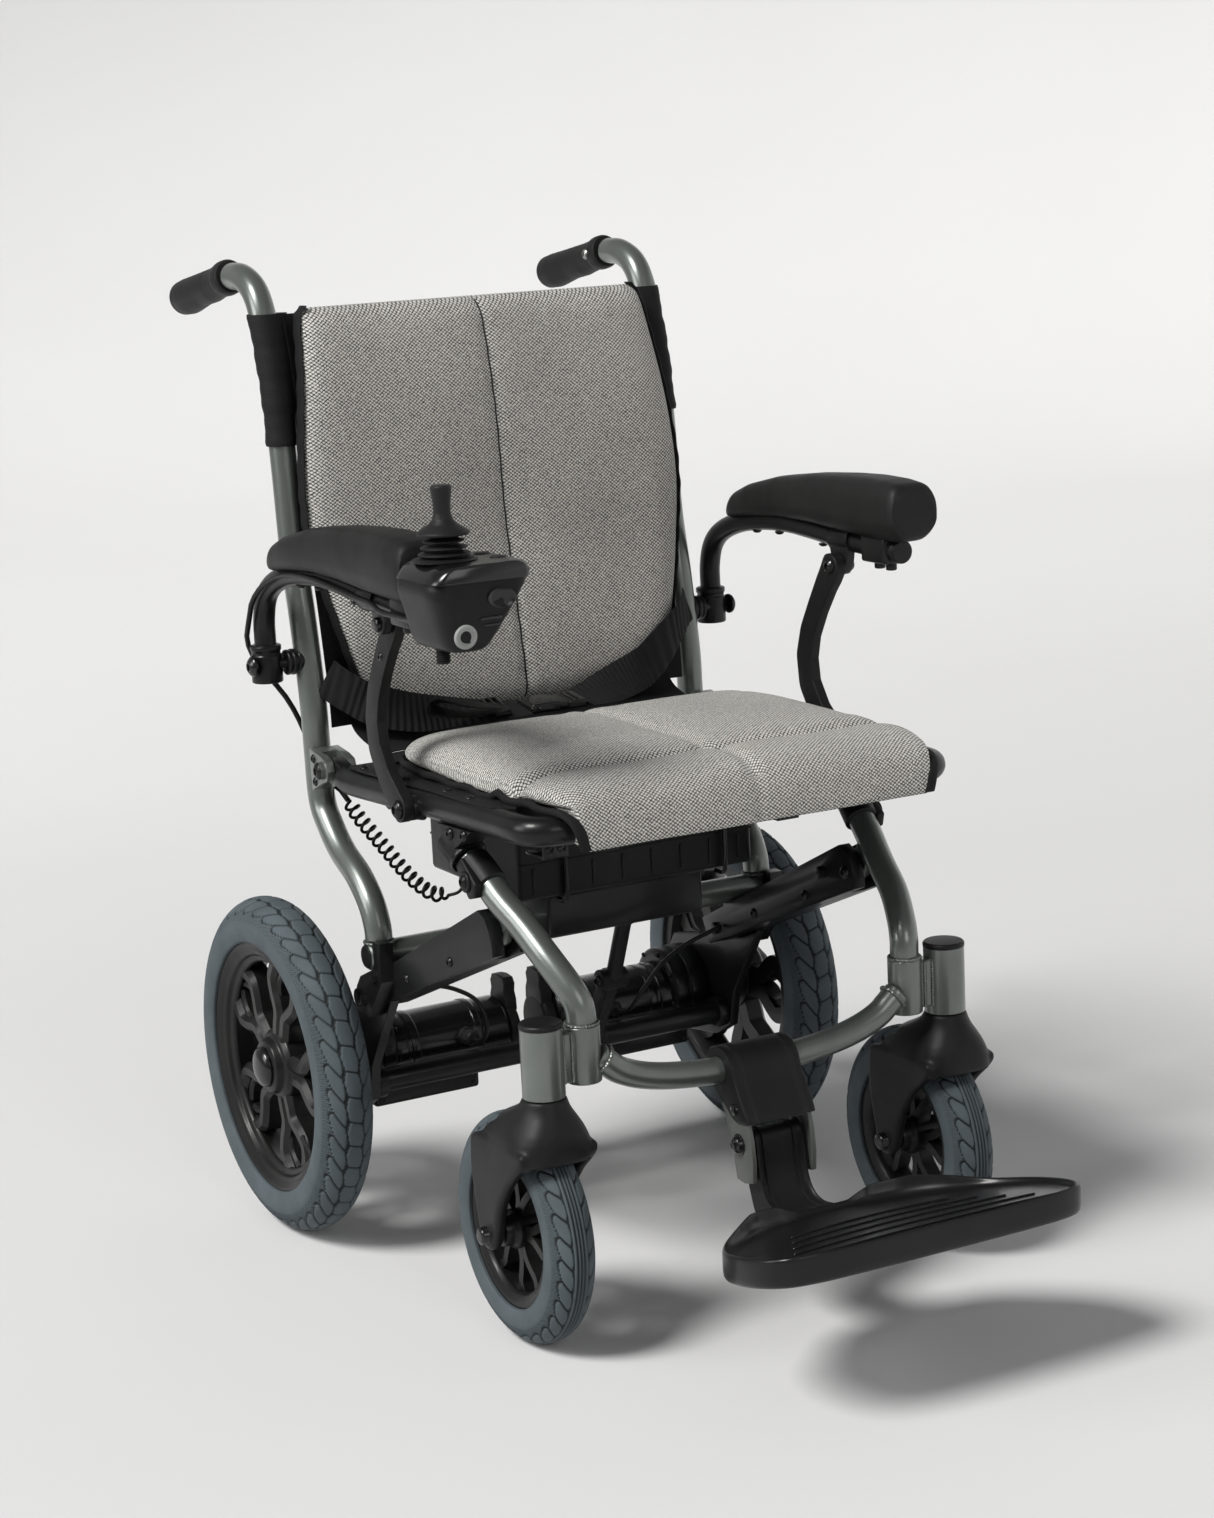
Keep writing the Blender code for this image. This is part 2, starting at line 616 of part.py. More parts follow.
def footrest_clamp():
    """Sleeve round the front cross tube, with two cheeks that hold the footrest's bolt."""
    y, z = FOOT_HINGE
    sleeve = prism(
        [
            (-0.2060, 0.2280), (-0.1925, 0.2330), (-0.1790, 0.2285), (-0.1740, 0.2150),
            (-0.1810, 0.2010), (-0.2150, 0.1760), (-0.2350, 0.1790), (-0.2120, 0.2080),
        ],
        "X", -0.0340, 0.0340,
    )
    cheek = [
        (-0.2060, 0.2000), (-0.2290, 0.1870), (y - 0.0180, z + 0.006), (y - 0.0190, z - 0.030),
        (y + 0.0060, z - 0.032), (y + 0.0110, z), (-0.1930, 0.1850),
    ]
    parts = [sleeve, prism(cheek, "X", 0.0275, 0.0320), prism(cheek, "X", -0.0320, -0.0275)]
    parts.append(rod((-0.0385, y, z), (0.0385, y, z), PIN_R, 10))
    parts.append(rod((-0.0385, y, z), (-0.0315, y, z), 0.0085, 6))
    parts.append(rod((0.0315, y, z), (0.0385, y, z), 0.0085, 6))
    whole = union(*parts)
    return minus(whole, rod((-0.05, STEM_Y, 0.2150), (0.05, STEM_Y, 0.2150), 0.0119, 12))


def build_front():
    for side, sign in SIDES:
        piece("leg_tube_" + side, leg_tube(sign), "frame_paint")
        piece("stem_tube_" + side, stem_tube(sign), "frame_paint")
        piece("leg_ferrule_" + side, leg_ferrule(sign), "cast_black")
    half = [
        (0.0, 0.2150), (0.0440, 0.2150), (0.0800, 0.2190), (0.1080, 0.2240), (0.1290, 0.2330),
        (0.1375, 0.2402),
    ]
    path = [(-x, STEM_Y, z) for x, z in half[:0:-1]] + [(x, STEM_Y, z) for x, z in half]
    piece("front_cross_tube", sweep(path, 0.0115, 10), "frame_paint")
    piece("footrest_clamp", footrest_clamp(), "cast_black", (0.0, *FOOT_HINGE))


# ---------------------------------------------------------------- casters
def caster_fork(sign):
    """Cast fork: stem pin, shoulder, two blades and the wheel's axle bolt."""
    x, y = CASTER_X, STEM_Y
    pin = rod((x, y, 0.2150), (x, y, 0.2740), 0.0085, 12, "Z")
    crown = revolve(
        [(0.2020, 0.0), (0.2020, 0.030), (0.2100, 0.027), (0.2200, 0.0200), (0.2240, 0.0190),
         (0.2240, 0.0)],
        (x, y, 0.0), "Z", 14,
    )
    bridge = block((x - 0.0355, -0.2180, 0.2010), (x + 0.0355, -0.1400, 0.2110), 0.008)
    outline = [
        (-0.2180, 0.2080), (-0.1400, 0.2080), (-0.1230, 0.1800), (-0.1270, 0.1020),
        (-0.1360, 0.0850), (-0.1540, 0.0850), (-0.1650, 0.1000), (-0.1850, 0.1450),
        (-0.2130, 0.1750),
    ]
    blades = [prism(outline, "X", x + a, x + b) for a, b in ((0.0260, 0.0350), (-0.0350, -0.0260))]
    axle = rod((x - 0.042, CASTER_Y, CASTER_Z), (x + 0.042, CASTER_Y, CASTER_Z), 0.0050, 10)
    heads = [
        rod((x + a, CASTER_Y, CASTER_Z), (x + b, CASTER_Y, CASTER_Z), 0.0085, 8)
        for a, b in ((0.034, 0.042), (-0.042, -0.034))
    ]
    return mirrored(union(crown, pin, bridge, *blades, axle, *heads), sign)


def caster_tyre(sign):
    h = CASTER_HALF
    profile = [
        (-0.015, CASTER_RIM_R + 0.0005), (-h, 0.0780), (-0.0185, 0.0900), (-0.0100, 0.0975),
        (0.0, CASTER_R), (0.0100, 0.0975), (0.0185, 0.0900), (h, 0.0780),
        (0.015, CASTER_RIM_R + 0.0005),
    ]
    return revolve(profile, (sign * CASTER_X, CASTER_Y, CASTER_Z), "X", 24, phase=0.0)


def caster_rim(sign):
    r = CASTER_RIM_R
    ring = revolve(
        [(-0.015, r), (-0.015, 0.0580), (0.015, 0.0580), (0.015, r)], (0, 0, 0), "X", 24, phase=0.0
    )
    hub = rod((-0.0235, 0, 0), (0.0235, 0, 0), 0.0170, 12)
    whole = union(ring, hub, *spokes(5, 0.014, 0.060, 0.0035, -0.006, 0.006, 0.0085))
    whole = minus(whole, rod((-0.03, 0, 0), (0.03, 0, 0), 0.0054, 12))
    return moved(whole, Matrix.Translation((sign * CASTER_X, CASTER_Y, CASTER_Z)))


def build_casters():
    for side, sign in SIDES:
        stem = (sign * CASTER_X, STEM_Y, 0.2240)
        piece("caster_fork_" + side, caster_fork(sign), "cast_black", stem)
        axle = (sign * CASTER_X, CASTER_Y, CASTER_Z)
        piece("caster_tyre_" + side, caster_tyre(sign), "tyre", axle)
        piece("caster_rim_" + side, caster_rim(sign), "cast_black", axle)


# ---------------------------------------------------------------- footrest
def footrest_post():
    y, z = FOOT_HINGE
    outline = [
        (y + 0.0075, z + 0.006), (y, z + 0.0105), (y - 0.0090, z + 0.006), (-0.2350, 0.1250),
        (-0.2430, 0.1090), (-0.2550, 0.1040), (-0.2916, 0.1080), (-0.2916, 0.0950),
        (-0.2530, 0.0880), (-0.2330, 0.0940), (-0.2240, 0.1140), (-0.2150, 0.1380),
    ]
    post = prism(outline, "X", -0.0235, 0.0235)
    return minus(post, rod((-0.05, y, z), (0.05, y, z), PIN_R + 0.0005, 10))


PLATE_HALF = [
    (0.0, -0.2920), (0.0330, -0.2920), (0.0470, -0.2950), (0.0760, -0.3060), (0.1030, -0.3280),
    (0.1290, -0.3500), (0.1460, -0.3780), (0.1530, -0.4080), (0.1520, -0.4340),
    (0.1440, -0.4540), (0.1280, -0.4650), (0.0900, -0.4705), (0.0, -0.4720),
]


def plate_z(y):
    return 0.1150 + (-0.3020 - y) * 0.222


def footrest_plate():
    """Tilted tread plate with a skirt, heel humps at the rear and shallow ribs on top."""
    outline = PLATE_HALF + [(-x, y) for x, y in PLATE_HALF[-2:0:-1]]
    centre_y = -0.395
    rings = []
    for drop, inset in ((-0.0215, 0.975), (-0.005, 1.0), (0.0, 0.985)):
        ring = []
        for x, y in outline:
            yy = centre_y + (y - centre_y) * inset
            ring.append((x * inset, yy, plate_z(yy) + drop))
        rings.append(ring)
    return loft(rings)


def build_footrest():
    piece("footrest_post", footrest_post(), "cast_black", (0.0, *FOOT_HINGE))
    piece("footrest_plate", footrest_plate(), "plastic", (0.0, *FOOT_HINGE))


# ---------------------------------------------------------------- armrests
ARM_PATH = [
    (0.2398, 0.5480), (0.2400, 0.5700), (0.2360, 0.5880), (0.2240, 0.6020), (0.2050, 0.6125),
    (0.1750, 0.6215), (0.1350, 0.6270), (0.0950, 0.6275), (0.0550, 0.6250), (0.0000, 0.6205),
    (-0.0650, 0.6165),
]


def arm_tube(sign):
    """Bent arm with its hinge barrel behind, the link's lug and the receiver in front."""
    y, z = ARM_HINGE
    path = [(ARM_X, a, b) for a, b in ARM_PATH]
    parts = [sweep(path, 0.0100, 10)]
    parts.append(rod((ARM_X, y, 0.5170), (ARM_X, y, 0.5510), 0.0143, 12, "Z"))
    ly, lz = LINK_TOP
    lug = [
        (ly - 0.014, lz + 0.0200), (ly - 0.009, lz - 0.004), (ly, lz - 0.0090),
        (ly + 0.009, lz - 0.004), (ly + 0.016, lz + 0.0200),
    ]
    parts.append(prism(lug, "X", 0.2268, 0.2362))
    if sign < 0:
        parts.append(block((0.2240, -0.0980, 0.6050), (0.2510, -0.0600, 0.6290), 0.003))
        parts.append(block((0.2340, -0.1340, 0.6080), (0.2500, -0.0950, 0.6200)))
    else:
        parts.append(block((0.2240, -0.0830, 0.6050), (0.2510, -0.0450, 0.6290), 0.003))
        parts.append(rod((ARM_X, -0.0820, 0.6165), (ARM_X, -0.0925, 0.6165), 0.0110, 12, "Y"))
    whole = minus(union(*parts), rod((0.21, y, z), (0.27, y, z), 0.0055, 10))
    return mirrored(whole, sign)


PAD_ROWS = [
    (0.1870, 0.0110, 0.6375, 0.6420), (0.1790, 0.0180, 0.6365, 0.6500),
    (0.1450, 0.0215, 0.6395, 0.6610), (0.0950, 0.0225, 0.6400, 0.6705),
    (0.0400, 0.0230, 0.6370, 0.6765), (-0.0100, 0.0235, 0.6325, 0.6800),
    (-0.0500, 0.0245, 0.6310, 0.6815), (-0.0830, 0.0255, 0.6315, 0.6795),
    (-0.1000, 0.0255, 0.6390, 0.6760), (-0.1100, 0.0225, 0.6500, 0.6710),
]


def arm_pad(sign):
    rings = []
    for y, half, low, high in PAD_ROWS:
        mid = low + (high - low) * 0.45
        x = 0.2390
        rings.append([
            (x - half * 0.80, y, low), (x, y, low), (x + half * 0.80, y, low),
            (x + half, y, mid), (x + half * 0.86, y, high - (high - low) * 0.16), (x, y, high),
            (x - half * 0.86, y, high - (high - low) * 0.16), (x - half, y, mid),
        ])
    return mirrored(loft(rings), sign)


LINK_PATH = [
    (-0.0055, 0.5975), (0.0070, 0.5800), (0.0225, 0.5570), (0.0370, 0.5320), (0.0440, 0.5080),
    (0.0410, 0.4830), (0.0250, 0.4590), (-0.0015, 0.4360),
]


def arm_link(sign):
    """Bowed forging from the seat rail up to the arm's lug, with an eye at each end."""
    half = [0.0105, 0.0095, 0.0090, 0.0095, 0.0100, 0.0100, 0.0100, 0.0110]
    path = [Vector(p) for p in LINK_PATH]
    left = []
    right = []
    for i, p in enumerate(path):
        a = path[max(i - 1, 0)]
        b = path[min(i + 1, len(path) - 1)]
        t = (b - a).normalized()
        n = Vector((-t.y, t.x))
        end = t * (0.009 if i == len(path) - 1 else (-0.009 if i == 0 else 0.0))
        if i in (0, len(path) - 1):
            left.append(p + n * half[i])
            left.append(p + n * half[i] * 0.55 + end)
            right.append(p - n * half[i])
            right.append(p - n * half[i] * 0.55 + end)
            if i == 0:
                left[-2:] = left[-2:][::-1]
                right[-2:] = right[-2:][::-1]
        else:
            left.append(p + n * half[i])
            right.append(p - n * half[i])
    outline = [tuple(p) for p in left + right[::-1]]
    bar = prism(outline, "X", 0.2165, 0.2262)
    y, z = LINK_FOOT
    bar = minus(bar, rod((0.21, y, z), (0.25, y, z), PIN_R + 0.0005, 10))
    ty, tz = LINK_TOP
    eye = rod((0.21, ty, tz), (0.25, ty, tz), 0.0048, 10)
    return mirrored(minus(bar, eye), sign)


def build_arms():
    for side, sign in SIDES:
        pivot = (sign * ARM_X, *ARM_HINGE)
        piece("arm_tube_" + side, arm_tube(sign), "black_coat", pivot)
        piece("arm_pad_" + side, arm_pad(sign), "rubber", pivot)
        piece("arm_link_" + side, arm_link(sign), "cast_black", (sign * 0.2213, *LINK_FOOT))


# ---------------------------------------------------------------- controller
BUTTONS = {"power_button": (-0.2080, -0.1500), "horn_button": (-0.2080, -0.1780)}
TOP_Z = 0.6680


def controller():
    """Housing with a bowed front, a recess for the joystick and two button wells."""
    def section(y, grow, drop):
        base = [
            (-0.2795, 0.6480), (-0.2700, 0.6640), (-0.2560, TOP_Z), (-0.2000, TOP_Z),
            (-0.1870, 0.6600), (-0.1900, 0.6500), (-0.2250, 0.6030), (-0.2350, 0.5980),
            (-0.2620, 0.5990), (-0.2710, 0.6070),
        ]
        ring = []
        for x, z in base:
            ring.append((-0.2340 + (x + 0.2340) * grow, y, 0.635 + (z - 0.635) * grow - drop))
        return ring

    shell = loft([
        section(-0.1345, 0.93, 0.0), section(-0.1400, 1.0, 0.0), section(-0.1880, 1.0, 0.0),
        section(-0.1980, 0.93, 0.001), section(-0.2040, 0.72, 0.002),
    ])
    well = rod((STICK[0], STICK[1], 0.6400), (STICK[0], STICK[1], 0.6750), 0.0170, 14, "Z")
    cutters = [well]
    for x, y in BUTTONS.values():
        cutters.append(rod((x, y, TOP_Z - 0.0040), (x, y, TOP_Z + 0.004), 0.0052, 10, "Z"))
    shell = minus(shell, *cutters)
    relief = rod((-0.2500, -0.1700, 0.6000), (-0.2500, -0.1700, 0.5880), 0.0060, 10, "Z")
    return union(shell, relief)


def build_controller():
    x, y = STICK
    pivot = (x, y, STICK_PIVOT_Z)
    piece("controller_body", controller(), "plastic")
    ring = revolve(
        [(-0.0030, 0.0125), (-0.0030, 0.0090), (0.0030, 0.0090), (0.0030, 0.0125)], pivot, "Z", 14
    )
    piece("joystick_gimbal", ring, "steel", pivot)
    knob = revolve(
        [
            (-0.0040, 0.0), (-0.0040, 0.0050), (0.0060, 0.0050), (0.0400, 0.0045),
            (0.0430, 0.0085), (0.0560, 0.0072), (0.0640, 0.0085), (0.0700, 0.0085),
            (0.0725, 0.0060), (0.0725, 0.0),
        ],
        pivot, "Z", 14,
    )
    piece("joystick_knob", knob, "rubber", pivot)
    gaiter = revolve(
        [
            (TOP_Z + 0.0005, 0.0210), (TOP_Z + 0.0005, 0.0185), (TOP_Z + 0.0090, 0.0150),
            (TOP_Z + 0.0200, 0.0060), (TOP_Z + 0.0235, 0.0060), (TOP_Z + 0.0235, 0.0110),
            (TOP_Z + 0.0130, 0.0175), (TOP_Z + 0.0040, 0.0215),
        ],
        (x, y, 0.0), "Z", 14,
    )
    piece("joystick_gaiter", gaiter, "rubber", pivot)
    for name, (bx, by) in BUTTONS.items():
        cap = rod((bx, by, TOP_Z - 0.0025), (bx, by, TOP_Z + 0.0015), 0.0047, 10, "Z")
        piece(name, cap, "rubber", (bx, by, TOP_Z))


# ---------------------------------------------------------------- belt and cables
def smooth_route(points, spacing):
    """Points a fixed distance apart along a Catmull-Rom curve through the route's points."""
    p = [Vector(q) for q in points]
    p = [p[0] * 2 - p[1]] + p + [p[-1] * 2 - p[-2]]
    dense = []
    for i in range(1, len(p) - 2):
        for k in range(12):
            t = k / 12
            a = (p[i] * 2 + (p[i + 1] - p[i - 1]) * t)
            b = (p[i - 1] * 2 - p[i] * 5 + p[i + 1] * 4 - p[i + 2]) * t * t
            c = (p[i] * 3 - p[i - 1] - p[i + 1] * 3 + p[i + 2]) * t ** 3
            dense.append((a + b + c) / 2)
    dense.append(p[-2])
    total = sum((b - a).length for a, b in zip(dense, dense[1:]))
    count = max(2, round(total / spacing))
    route = [dense[0]]
    walked = 0.0
    for a, b in zip(dense, dense[1:]):
        walked += (b - a).length
        if walked >= total / count * len(route) and len(route) < count:
            route.append(b)
    route.append(dense[-1])
    return route


def cord(name, points, diameter, spacing, skin):
    """Plain round cord: a curve with a bevel and closed ends."""
    route = smooth_route(points, spacing)
    data = bpy.data.curves.new(name, "CURVE")
    data.dimensions = "3D"
    data.bevel_depth = diameter / 2
    data.bevel_resolution = 2
    data.use_fill_caps = True
    spline = data.splines.new("POLY")
    spline.points.add(len(route) - 1)
    for target, point in zip(spline.points, route):
        target.co = (*point, 1.0)
    obj = bpy.data.objects.new(name, data)
    bpy.context.collection.objects.link(obj)
    colour, roughness, metallic = SKIN[skin]
    material = bpy.data.materials.new(name)
    material.use_nodes = True
    shader = material.node_tree.nodes["Principled BSDF"]
    shader.inputs["Base Color"].default_value = (*colour, 1.0)
    shader.inputs["Roughness"].default_value = roughness
    shader.inputs["Metallic"].default_value = metallic
    data.materials.append(material)
    return obj


def build_soft():
    coil = [
        (-0.1800, 0.2080, 0.4020), (-0.1760, 0.1950, 0.3880), (-0.1700, 0.1790, 0.3740),
        (-0.1640, 0.1630, 0.3600), (-0.1580, 0.1470, 0.3480), (-0.1540, 0.1350, 0.3400),
    ]
    cord("coil_cable", coil, 0.0140, 0.018, "rubber")
    lead = [
        (-0.2620, -0.1335, 0.6180), (-0.2600, -0.1250, 0.6165), (-0.2560, -0.1050, 0.6150),
        (-0.2546, -0.0800, 0.6150), (-0.2546, -0.0500, 0.6155), (-0.2512, -0.0250, 0.6190),
        (-0.2508, 0.0100, 0.6212), (-0.2508, 0.0550, 0.6250), (-0.2508, 0.0950, 0.6275),
        (-0.2508, 0.1350, 0.6270), (-0.2514, 0.1750, 0.6210), (-0.2524, 0.2070, 0.6080),
        (-0.2528, 0.2290, 0.5920), (-0.2520, 0.2400, 0.5750), (-0.2505, 0.2520, 0.5580),
        (-0.2430, 0.2620, 0.5410), (-0.2330, 0.2610, 0.5240), (-0.2240, 0.2550, 0.5100),
        (-0.2160, 0.2490, 0.4960), (-0.2080, 0.2460, 0.4780), (-0.2010, 0.2450, 0.4580),
        (-0.1970, 0.2460, 0.4380), (-0.1920, 0.2440, 0.4220), (-0.1850, 0.2300, 0.4150),
        (-0.18205, 0.21466, 0.40917), (-0.18010, 0.20833, 0.40236),
    ]
    cord("controller_cable", lead, 0.0050, 0.0125, "rubber")
    straps = []
    for sign in (-1.0, 1.0):
        rows = [
            (0.1860, 0.1690, 0.4965, 0.012), (0.1550, 0.1670, 0.4950, 0.012),
            (0.1100, 0.1580, 0.4905, 0.012), (0.0600, 0.1450, 0.4885, 0.012),
            (0.0260, 0.1400, 0.4885, 0.011),
        ]
        rings = []
        for x, y, z, w in rows:
            tilt = 0.6 if x > 0.12 else 0.15
            rings.append([
                (sign * x, y - w * 0.8, z - w * tilt), (sign * x, y + w * 0.8, z + w * tilt),
                (sign * x, y + w * 0.8, z + w * tilt + 0.003),
                (sign * x, y - w * 0.8, z - w * tilt + 0.003),
            ])
        straps.append(loft(rings))
    clasp = block((-0.0280, 0.1270, 0.4868), (0.0280, 0.1530, 0.4958), 0.005)
    piece("seat_belt", union(clasp, *straps), "webbing")


def hang(name, point, members):
    """Parents a moving body's pieces, as they stand, to an empty on its joint axis."""
    hub = bpy.data.objects.new(name, None)
    hub.location = point
    bpy.context.collection.objects.link(hub)
    for member in members:
        obj = bpy.data.objects[member]
        obj.parent = hub
        obj.matrix_parent_inverse = Matrix.Translation(-Vector(point))


def both(*names):
    return [name + "_" + side for name in names for side, sign in SIDES]


def main():
    for obj in list(bpy.data.objects):
        bpy.data.objects.remove(obj, do_unlink=True)
    build_chassis()
    build_back()
    build_seat()
    build_front()
    build_casters()
    build_footrest()
    build_arms()
    build_controller()
    build_soft()
    hang(
        "seat_frame_axis", (0.0, *FOLD),
        both("seat_tube", "leg_tube", "stem_tube", "leg_ferrule")
        + ["seat_cross_bars", "seat_cushion", "battery_pack", "battery_tray", "front_cross_tube"]
        + ["footrest_clamp", "coil_cable", "seat_belt"],
    )
    hang(
        "back_frame_axis", (0.0, *BACK_HINGE),
        both("back_tube", "push_grip", "hinge_casting")
        + ["rear_cross_tube", "back_cushion", "back_sling"],
    )
    hang(
        "right_arm_axis", (-ARM_X, *ARM_HINGE), ["controller_body", "controller_cable"],
    )


main()
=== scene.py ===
"""Visual model of the power wheelchair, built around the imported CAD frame."""
import math

import bmesh
import bpy
import numpy as np
from mathutils import Matrix, Vector


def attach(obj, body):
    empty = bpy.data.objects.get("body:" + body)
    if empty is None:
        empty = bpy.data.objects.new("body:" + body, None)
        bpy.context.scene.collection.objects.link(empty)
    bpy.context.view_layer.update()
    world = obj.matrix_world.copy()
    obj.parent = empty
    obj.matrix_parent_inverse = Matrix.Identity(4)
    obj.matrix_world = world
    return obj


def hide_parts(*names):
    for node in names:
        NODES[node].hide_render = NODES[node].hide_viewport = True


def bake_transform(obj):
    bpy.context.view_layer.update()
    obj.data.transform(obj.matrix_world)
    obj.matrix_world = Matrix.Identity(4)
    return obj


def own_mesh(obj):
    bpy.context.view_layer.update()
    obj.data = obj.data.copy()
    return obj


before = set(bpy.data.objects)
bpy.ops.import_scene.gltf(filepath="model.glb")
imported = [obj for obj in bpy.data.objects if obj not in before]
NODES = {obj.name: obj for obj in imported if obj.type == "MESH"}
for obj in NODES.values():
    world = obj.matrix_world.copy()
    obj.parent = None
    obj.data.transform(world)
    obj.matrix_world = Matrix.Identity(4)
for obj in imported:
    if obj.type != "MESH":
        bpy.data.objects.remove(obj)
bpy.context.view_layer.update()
SIDES = {"right": -1.0, "left": 1.0}      # the occupant's sides, and the way of X there

# The places of the CAD's joints and tubes, in metres.
WHEEL_X, WHEEL_Y, WHEEL_Z, WHEEL_R = 0.25, 0.2335, 0.1575, 0.1575
MOTOR_Z = 0.1505
CASTER_X, CASTER_Y, CASTER_Z, CASTER_R = 0.2, -0.1455, 0.099, 0.099
STEM_Y = -0.1925
FRAME_X, TUBE_R = 0.2, 0.0125
BACK_HINGE = (0.1835, 0.439)
LATCH = (0.1145, 0.279)
FOLD = (-0.093, 0.338)
ARM_X, ARM_HINGE = 0.2372, (0.2415, 0.533)
LINK_FOOT, LINK_TOP = (-0.0015, 0.436), (-0.0055, 0.5975)
FOOT_HINGE = (-0.219, 0.156)
AXLE, STRUT_ELBOW = (0.172, 0.142), (0.122, 0.212)
STICK = (-0.2475, -0.163)


# ------------------------------------------------------------------ materials
def new_material(name, colour, roughness, metallic=0.0, coat=0.0, specular=0.5, sheen=0.0):
    mat = bpy.data.materials.new(name)
    mat.use_nodes = True
    shader = mat.node_tree.nodes["Principled BSDF"]
    shader.inputs["Base Color"].default_value = (*colour, 1.0)
    shader.inputs["Roughness"].default_value = roughness
    shader.inputs["Metallic"].default_value = metallic
    shader.inputs["Coat Weight"].default_value = coat
    shader.inputs["Coat Roughness"].default_value = 0.12
    shader.inputs["Specular IOR Level"].default_value = specular
    shader.inputs["Sheen Weight"].default_value = sheen
    return mat, shader


def add(mat, kind, **settings):
    node = mat.node_tree.nodes.new(kind)
    for key, value in settings.items():
        if key in node.inputs:
            node.inputs[key].default_value = value
        else:
            setattr(node, key, value)
    return node


def wire(mat, output, target):
    mat.node_tree.links.new(output, target)


def calc(mat, operation, a, b=None):
    """A Math node; a and b are sockets or numbers."""
    node = add(mat, "ShaderNodeMath", operation=operation)
    for i, value in enumerate((a, b)):
        if value is None:
            continue
        if isinstance(value, (int, float)):
            node.inputs[i].default_value = value
        else:
            wire(mat, value, node.inputs[i])
    return node.outputs[0]


def noise(mat, scale, detail=4.0, rough=0.55):
    coords = add(mat, "ShaderNodeTexCoord")
    node = add(mat, "ShaderNodeTexNoise", Scale=scale, Detail=detail, Roughness=rough)
    wire(mat, coords.outputs["Object"], node.inputs["Vector"])
    return node.outputs["Fac"]


def span(mat, value, low, high, out_low, out_high):
    node = add(mat, "ShaderNodeMapRange")
    for key, number in (
        ("From Min", low), ("From Max", high), ("To Min", out_low), ("To Max", out_high)
    ):
        node.inputs[key].default_value = number
    wire(mat, value, node.inputs["Value"])
    return node.outputs["Result"]


def two_tone(mat, shader, factor, dark, light):
    node = add(mat, "ShaderNodeMix", data_type="RGBA")
    node.inputs["A"].default_value = (*dark, 1.0)
    node.inputs["B"].default_value = (*light, 1.0)
    colours = [s for s in node.inputs if s.type == "RGBA"]
    colours[0].default_value = (*dark, 1.0)
    colours[1].default_value = (*light, 1.0)
    wire(mat, factor, node.inputs[0])
    result = [s for s in node.outputs if s.type == "RGBA"][0]
    wire(mat, result, shader.inputs["Base Color"])
    return result


def relief(mat, shader, height, distance, strength=1.0):
    node = add(mat, "ShaderNodeBump", Strength=strength, Distance=distance)
    wire(mat, height, node.inputs["Height"])
    wire(mat, node.outputs["Normal"], shader.inputs["Normal"])


def surface(name, dark, light, rough, metallic=0.0, coat=0.0, grain=900.0, depth=0.0001,
            specular=0.5, sheen=0.0, patch=14.0):
    """Two-tone colour and roughness in broad patches over a fine grain."""
    mat, shader = new_material(name, light, rough[0], metallic, coat, specular, sheen)
    broad = noise(mat, patch, 5.0, 0.6)
    two_tone(mat, shader, span(mat, broad, 0.3, 0.7, 0.0, 1.0), dark, light)
    wire(mat, span(mat, broad, 0.3, 0.7, rough[1], rough[0]), shader.inputs["Roughness"])
    relief(mat, shader, noise(mat, grain, 3.0, 0.6), depth)
    return mat


def weave_material(name, dark, light, across, along, depth):
    """Two-colour diamond weave on the piece's own weave map, in metres."""
    mat, shader = new_material(name, light, 0.92, specular=0.2, sheen=0.12)
    uv = add(mat, "ShaderNodeUVMap", uv_map="weave")
    split = add(mat, "ShaderNodeSeparateXYZ")
    wire(mat, uv.outputs["UV"], split.inputs[0])
    jitter = span(mat, noise(mat, 330.0, 3.0), 0.0, 1.0, -0.55, 0.55)
    u = calc(mat, "MULTIPLY", split.outputs["X"], math.pi / across)
    v = calc(mat, "MULTIPLY", split.outputs["Y"], math.pi / along)
    a = calc(mat, "ABSOLUTE", calc(mat, "SINE", calc(mat, "ADD", calc(mat, "ADD", u, v), jitter)))
    b = calc(mat, "ABSOLUTE", calc(mat, "SINE", calc(mat, "ADD", calc(mat, "SUBTRACT", u, v),
                                                      jitter)))
    cell = calc(mat, "POWER", calc(mat, "MULTIPLY", a, b), 0.5)
    thread = span(mat, noise(mat, 760.0, 4.0, 0.75), 0.3, 0.7, -0.4, 0.4)
    height = calc(mat, "ADD", cell, thread)
    factor = span(mat, height, 0.36, 0.84, 0.0, 1.0)
    broad = span(mat, noise(mat, 9.0, 4.0), 0.3, 0.7, 0.86, 1.0)
    two_tone(mat, shader, calc(mat, "MULTIPLY", factor, broad), dark, light)
    relief(mat, shader, height, depth, 0.7)
    return mat


def ribbed_material(name, colour, pitch, depth):
    """Plain webbing: fine ribs on the piece's weave map."""
    mat, shader = new_material(name, colour, 0.66, specular=0.2, sheen=0.01)
    uv = add(mat, "ShaderNodeUVMap", uv_map="weave")
    split = add(mat, "ShaderNodeSeparateXYZ")
    wire(mat, uv.outputs["UV"], split.inputs[0])
    v = calc(mat, "SINE", calc(mat, "MULTIPLY", split.outputs["Y"], 2 * math.pi / pitch))
    u = calc(mat, "SINE", calc(mat, "MULTIPLY", split.outputs["X"], 2 * math.pi / pitch))
    height = calc(mat, "ADD", calc(mat, "MULTIPLY", u, v), noise(mat, 900.0, 2.0))
    # The ribs' crests are painted up to twice as light as their hollows: painted highlight and
    # shade on webbing of one colour.
    light = tuple(c * 2.0 + 0.002 for c in colour)
    two_tone(mat, shader, span(mat, height, -0.4, 1.5, 0.0, 1.0), colour, light)
    relief(mat, shader, height, depth, 0.8)
    return mat


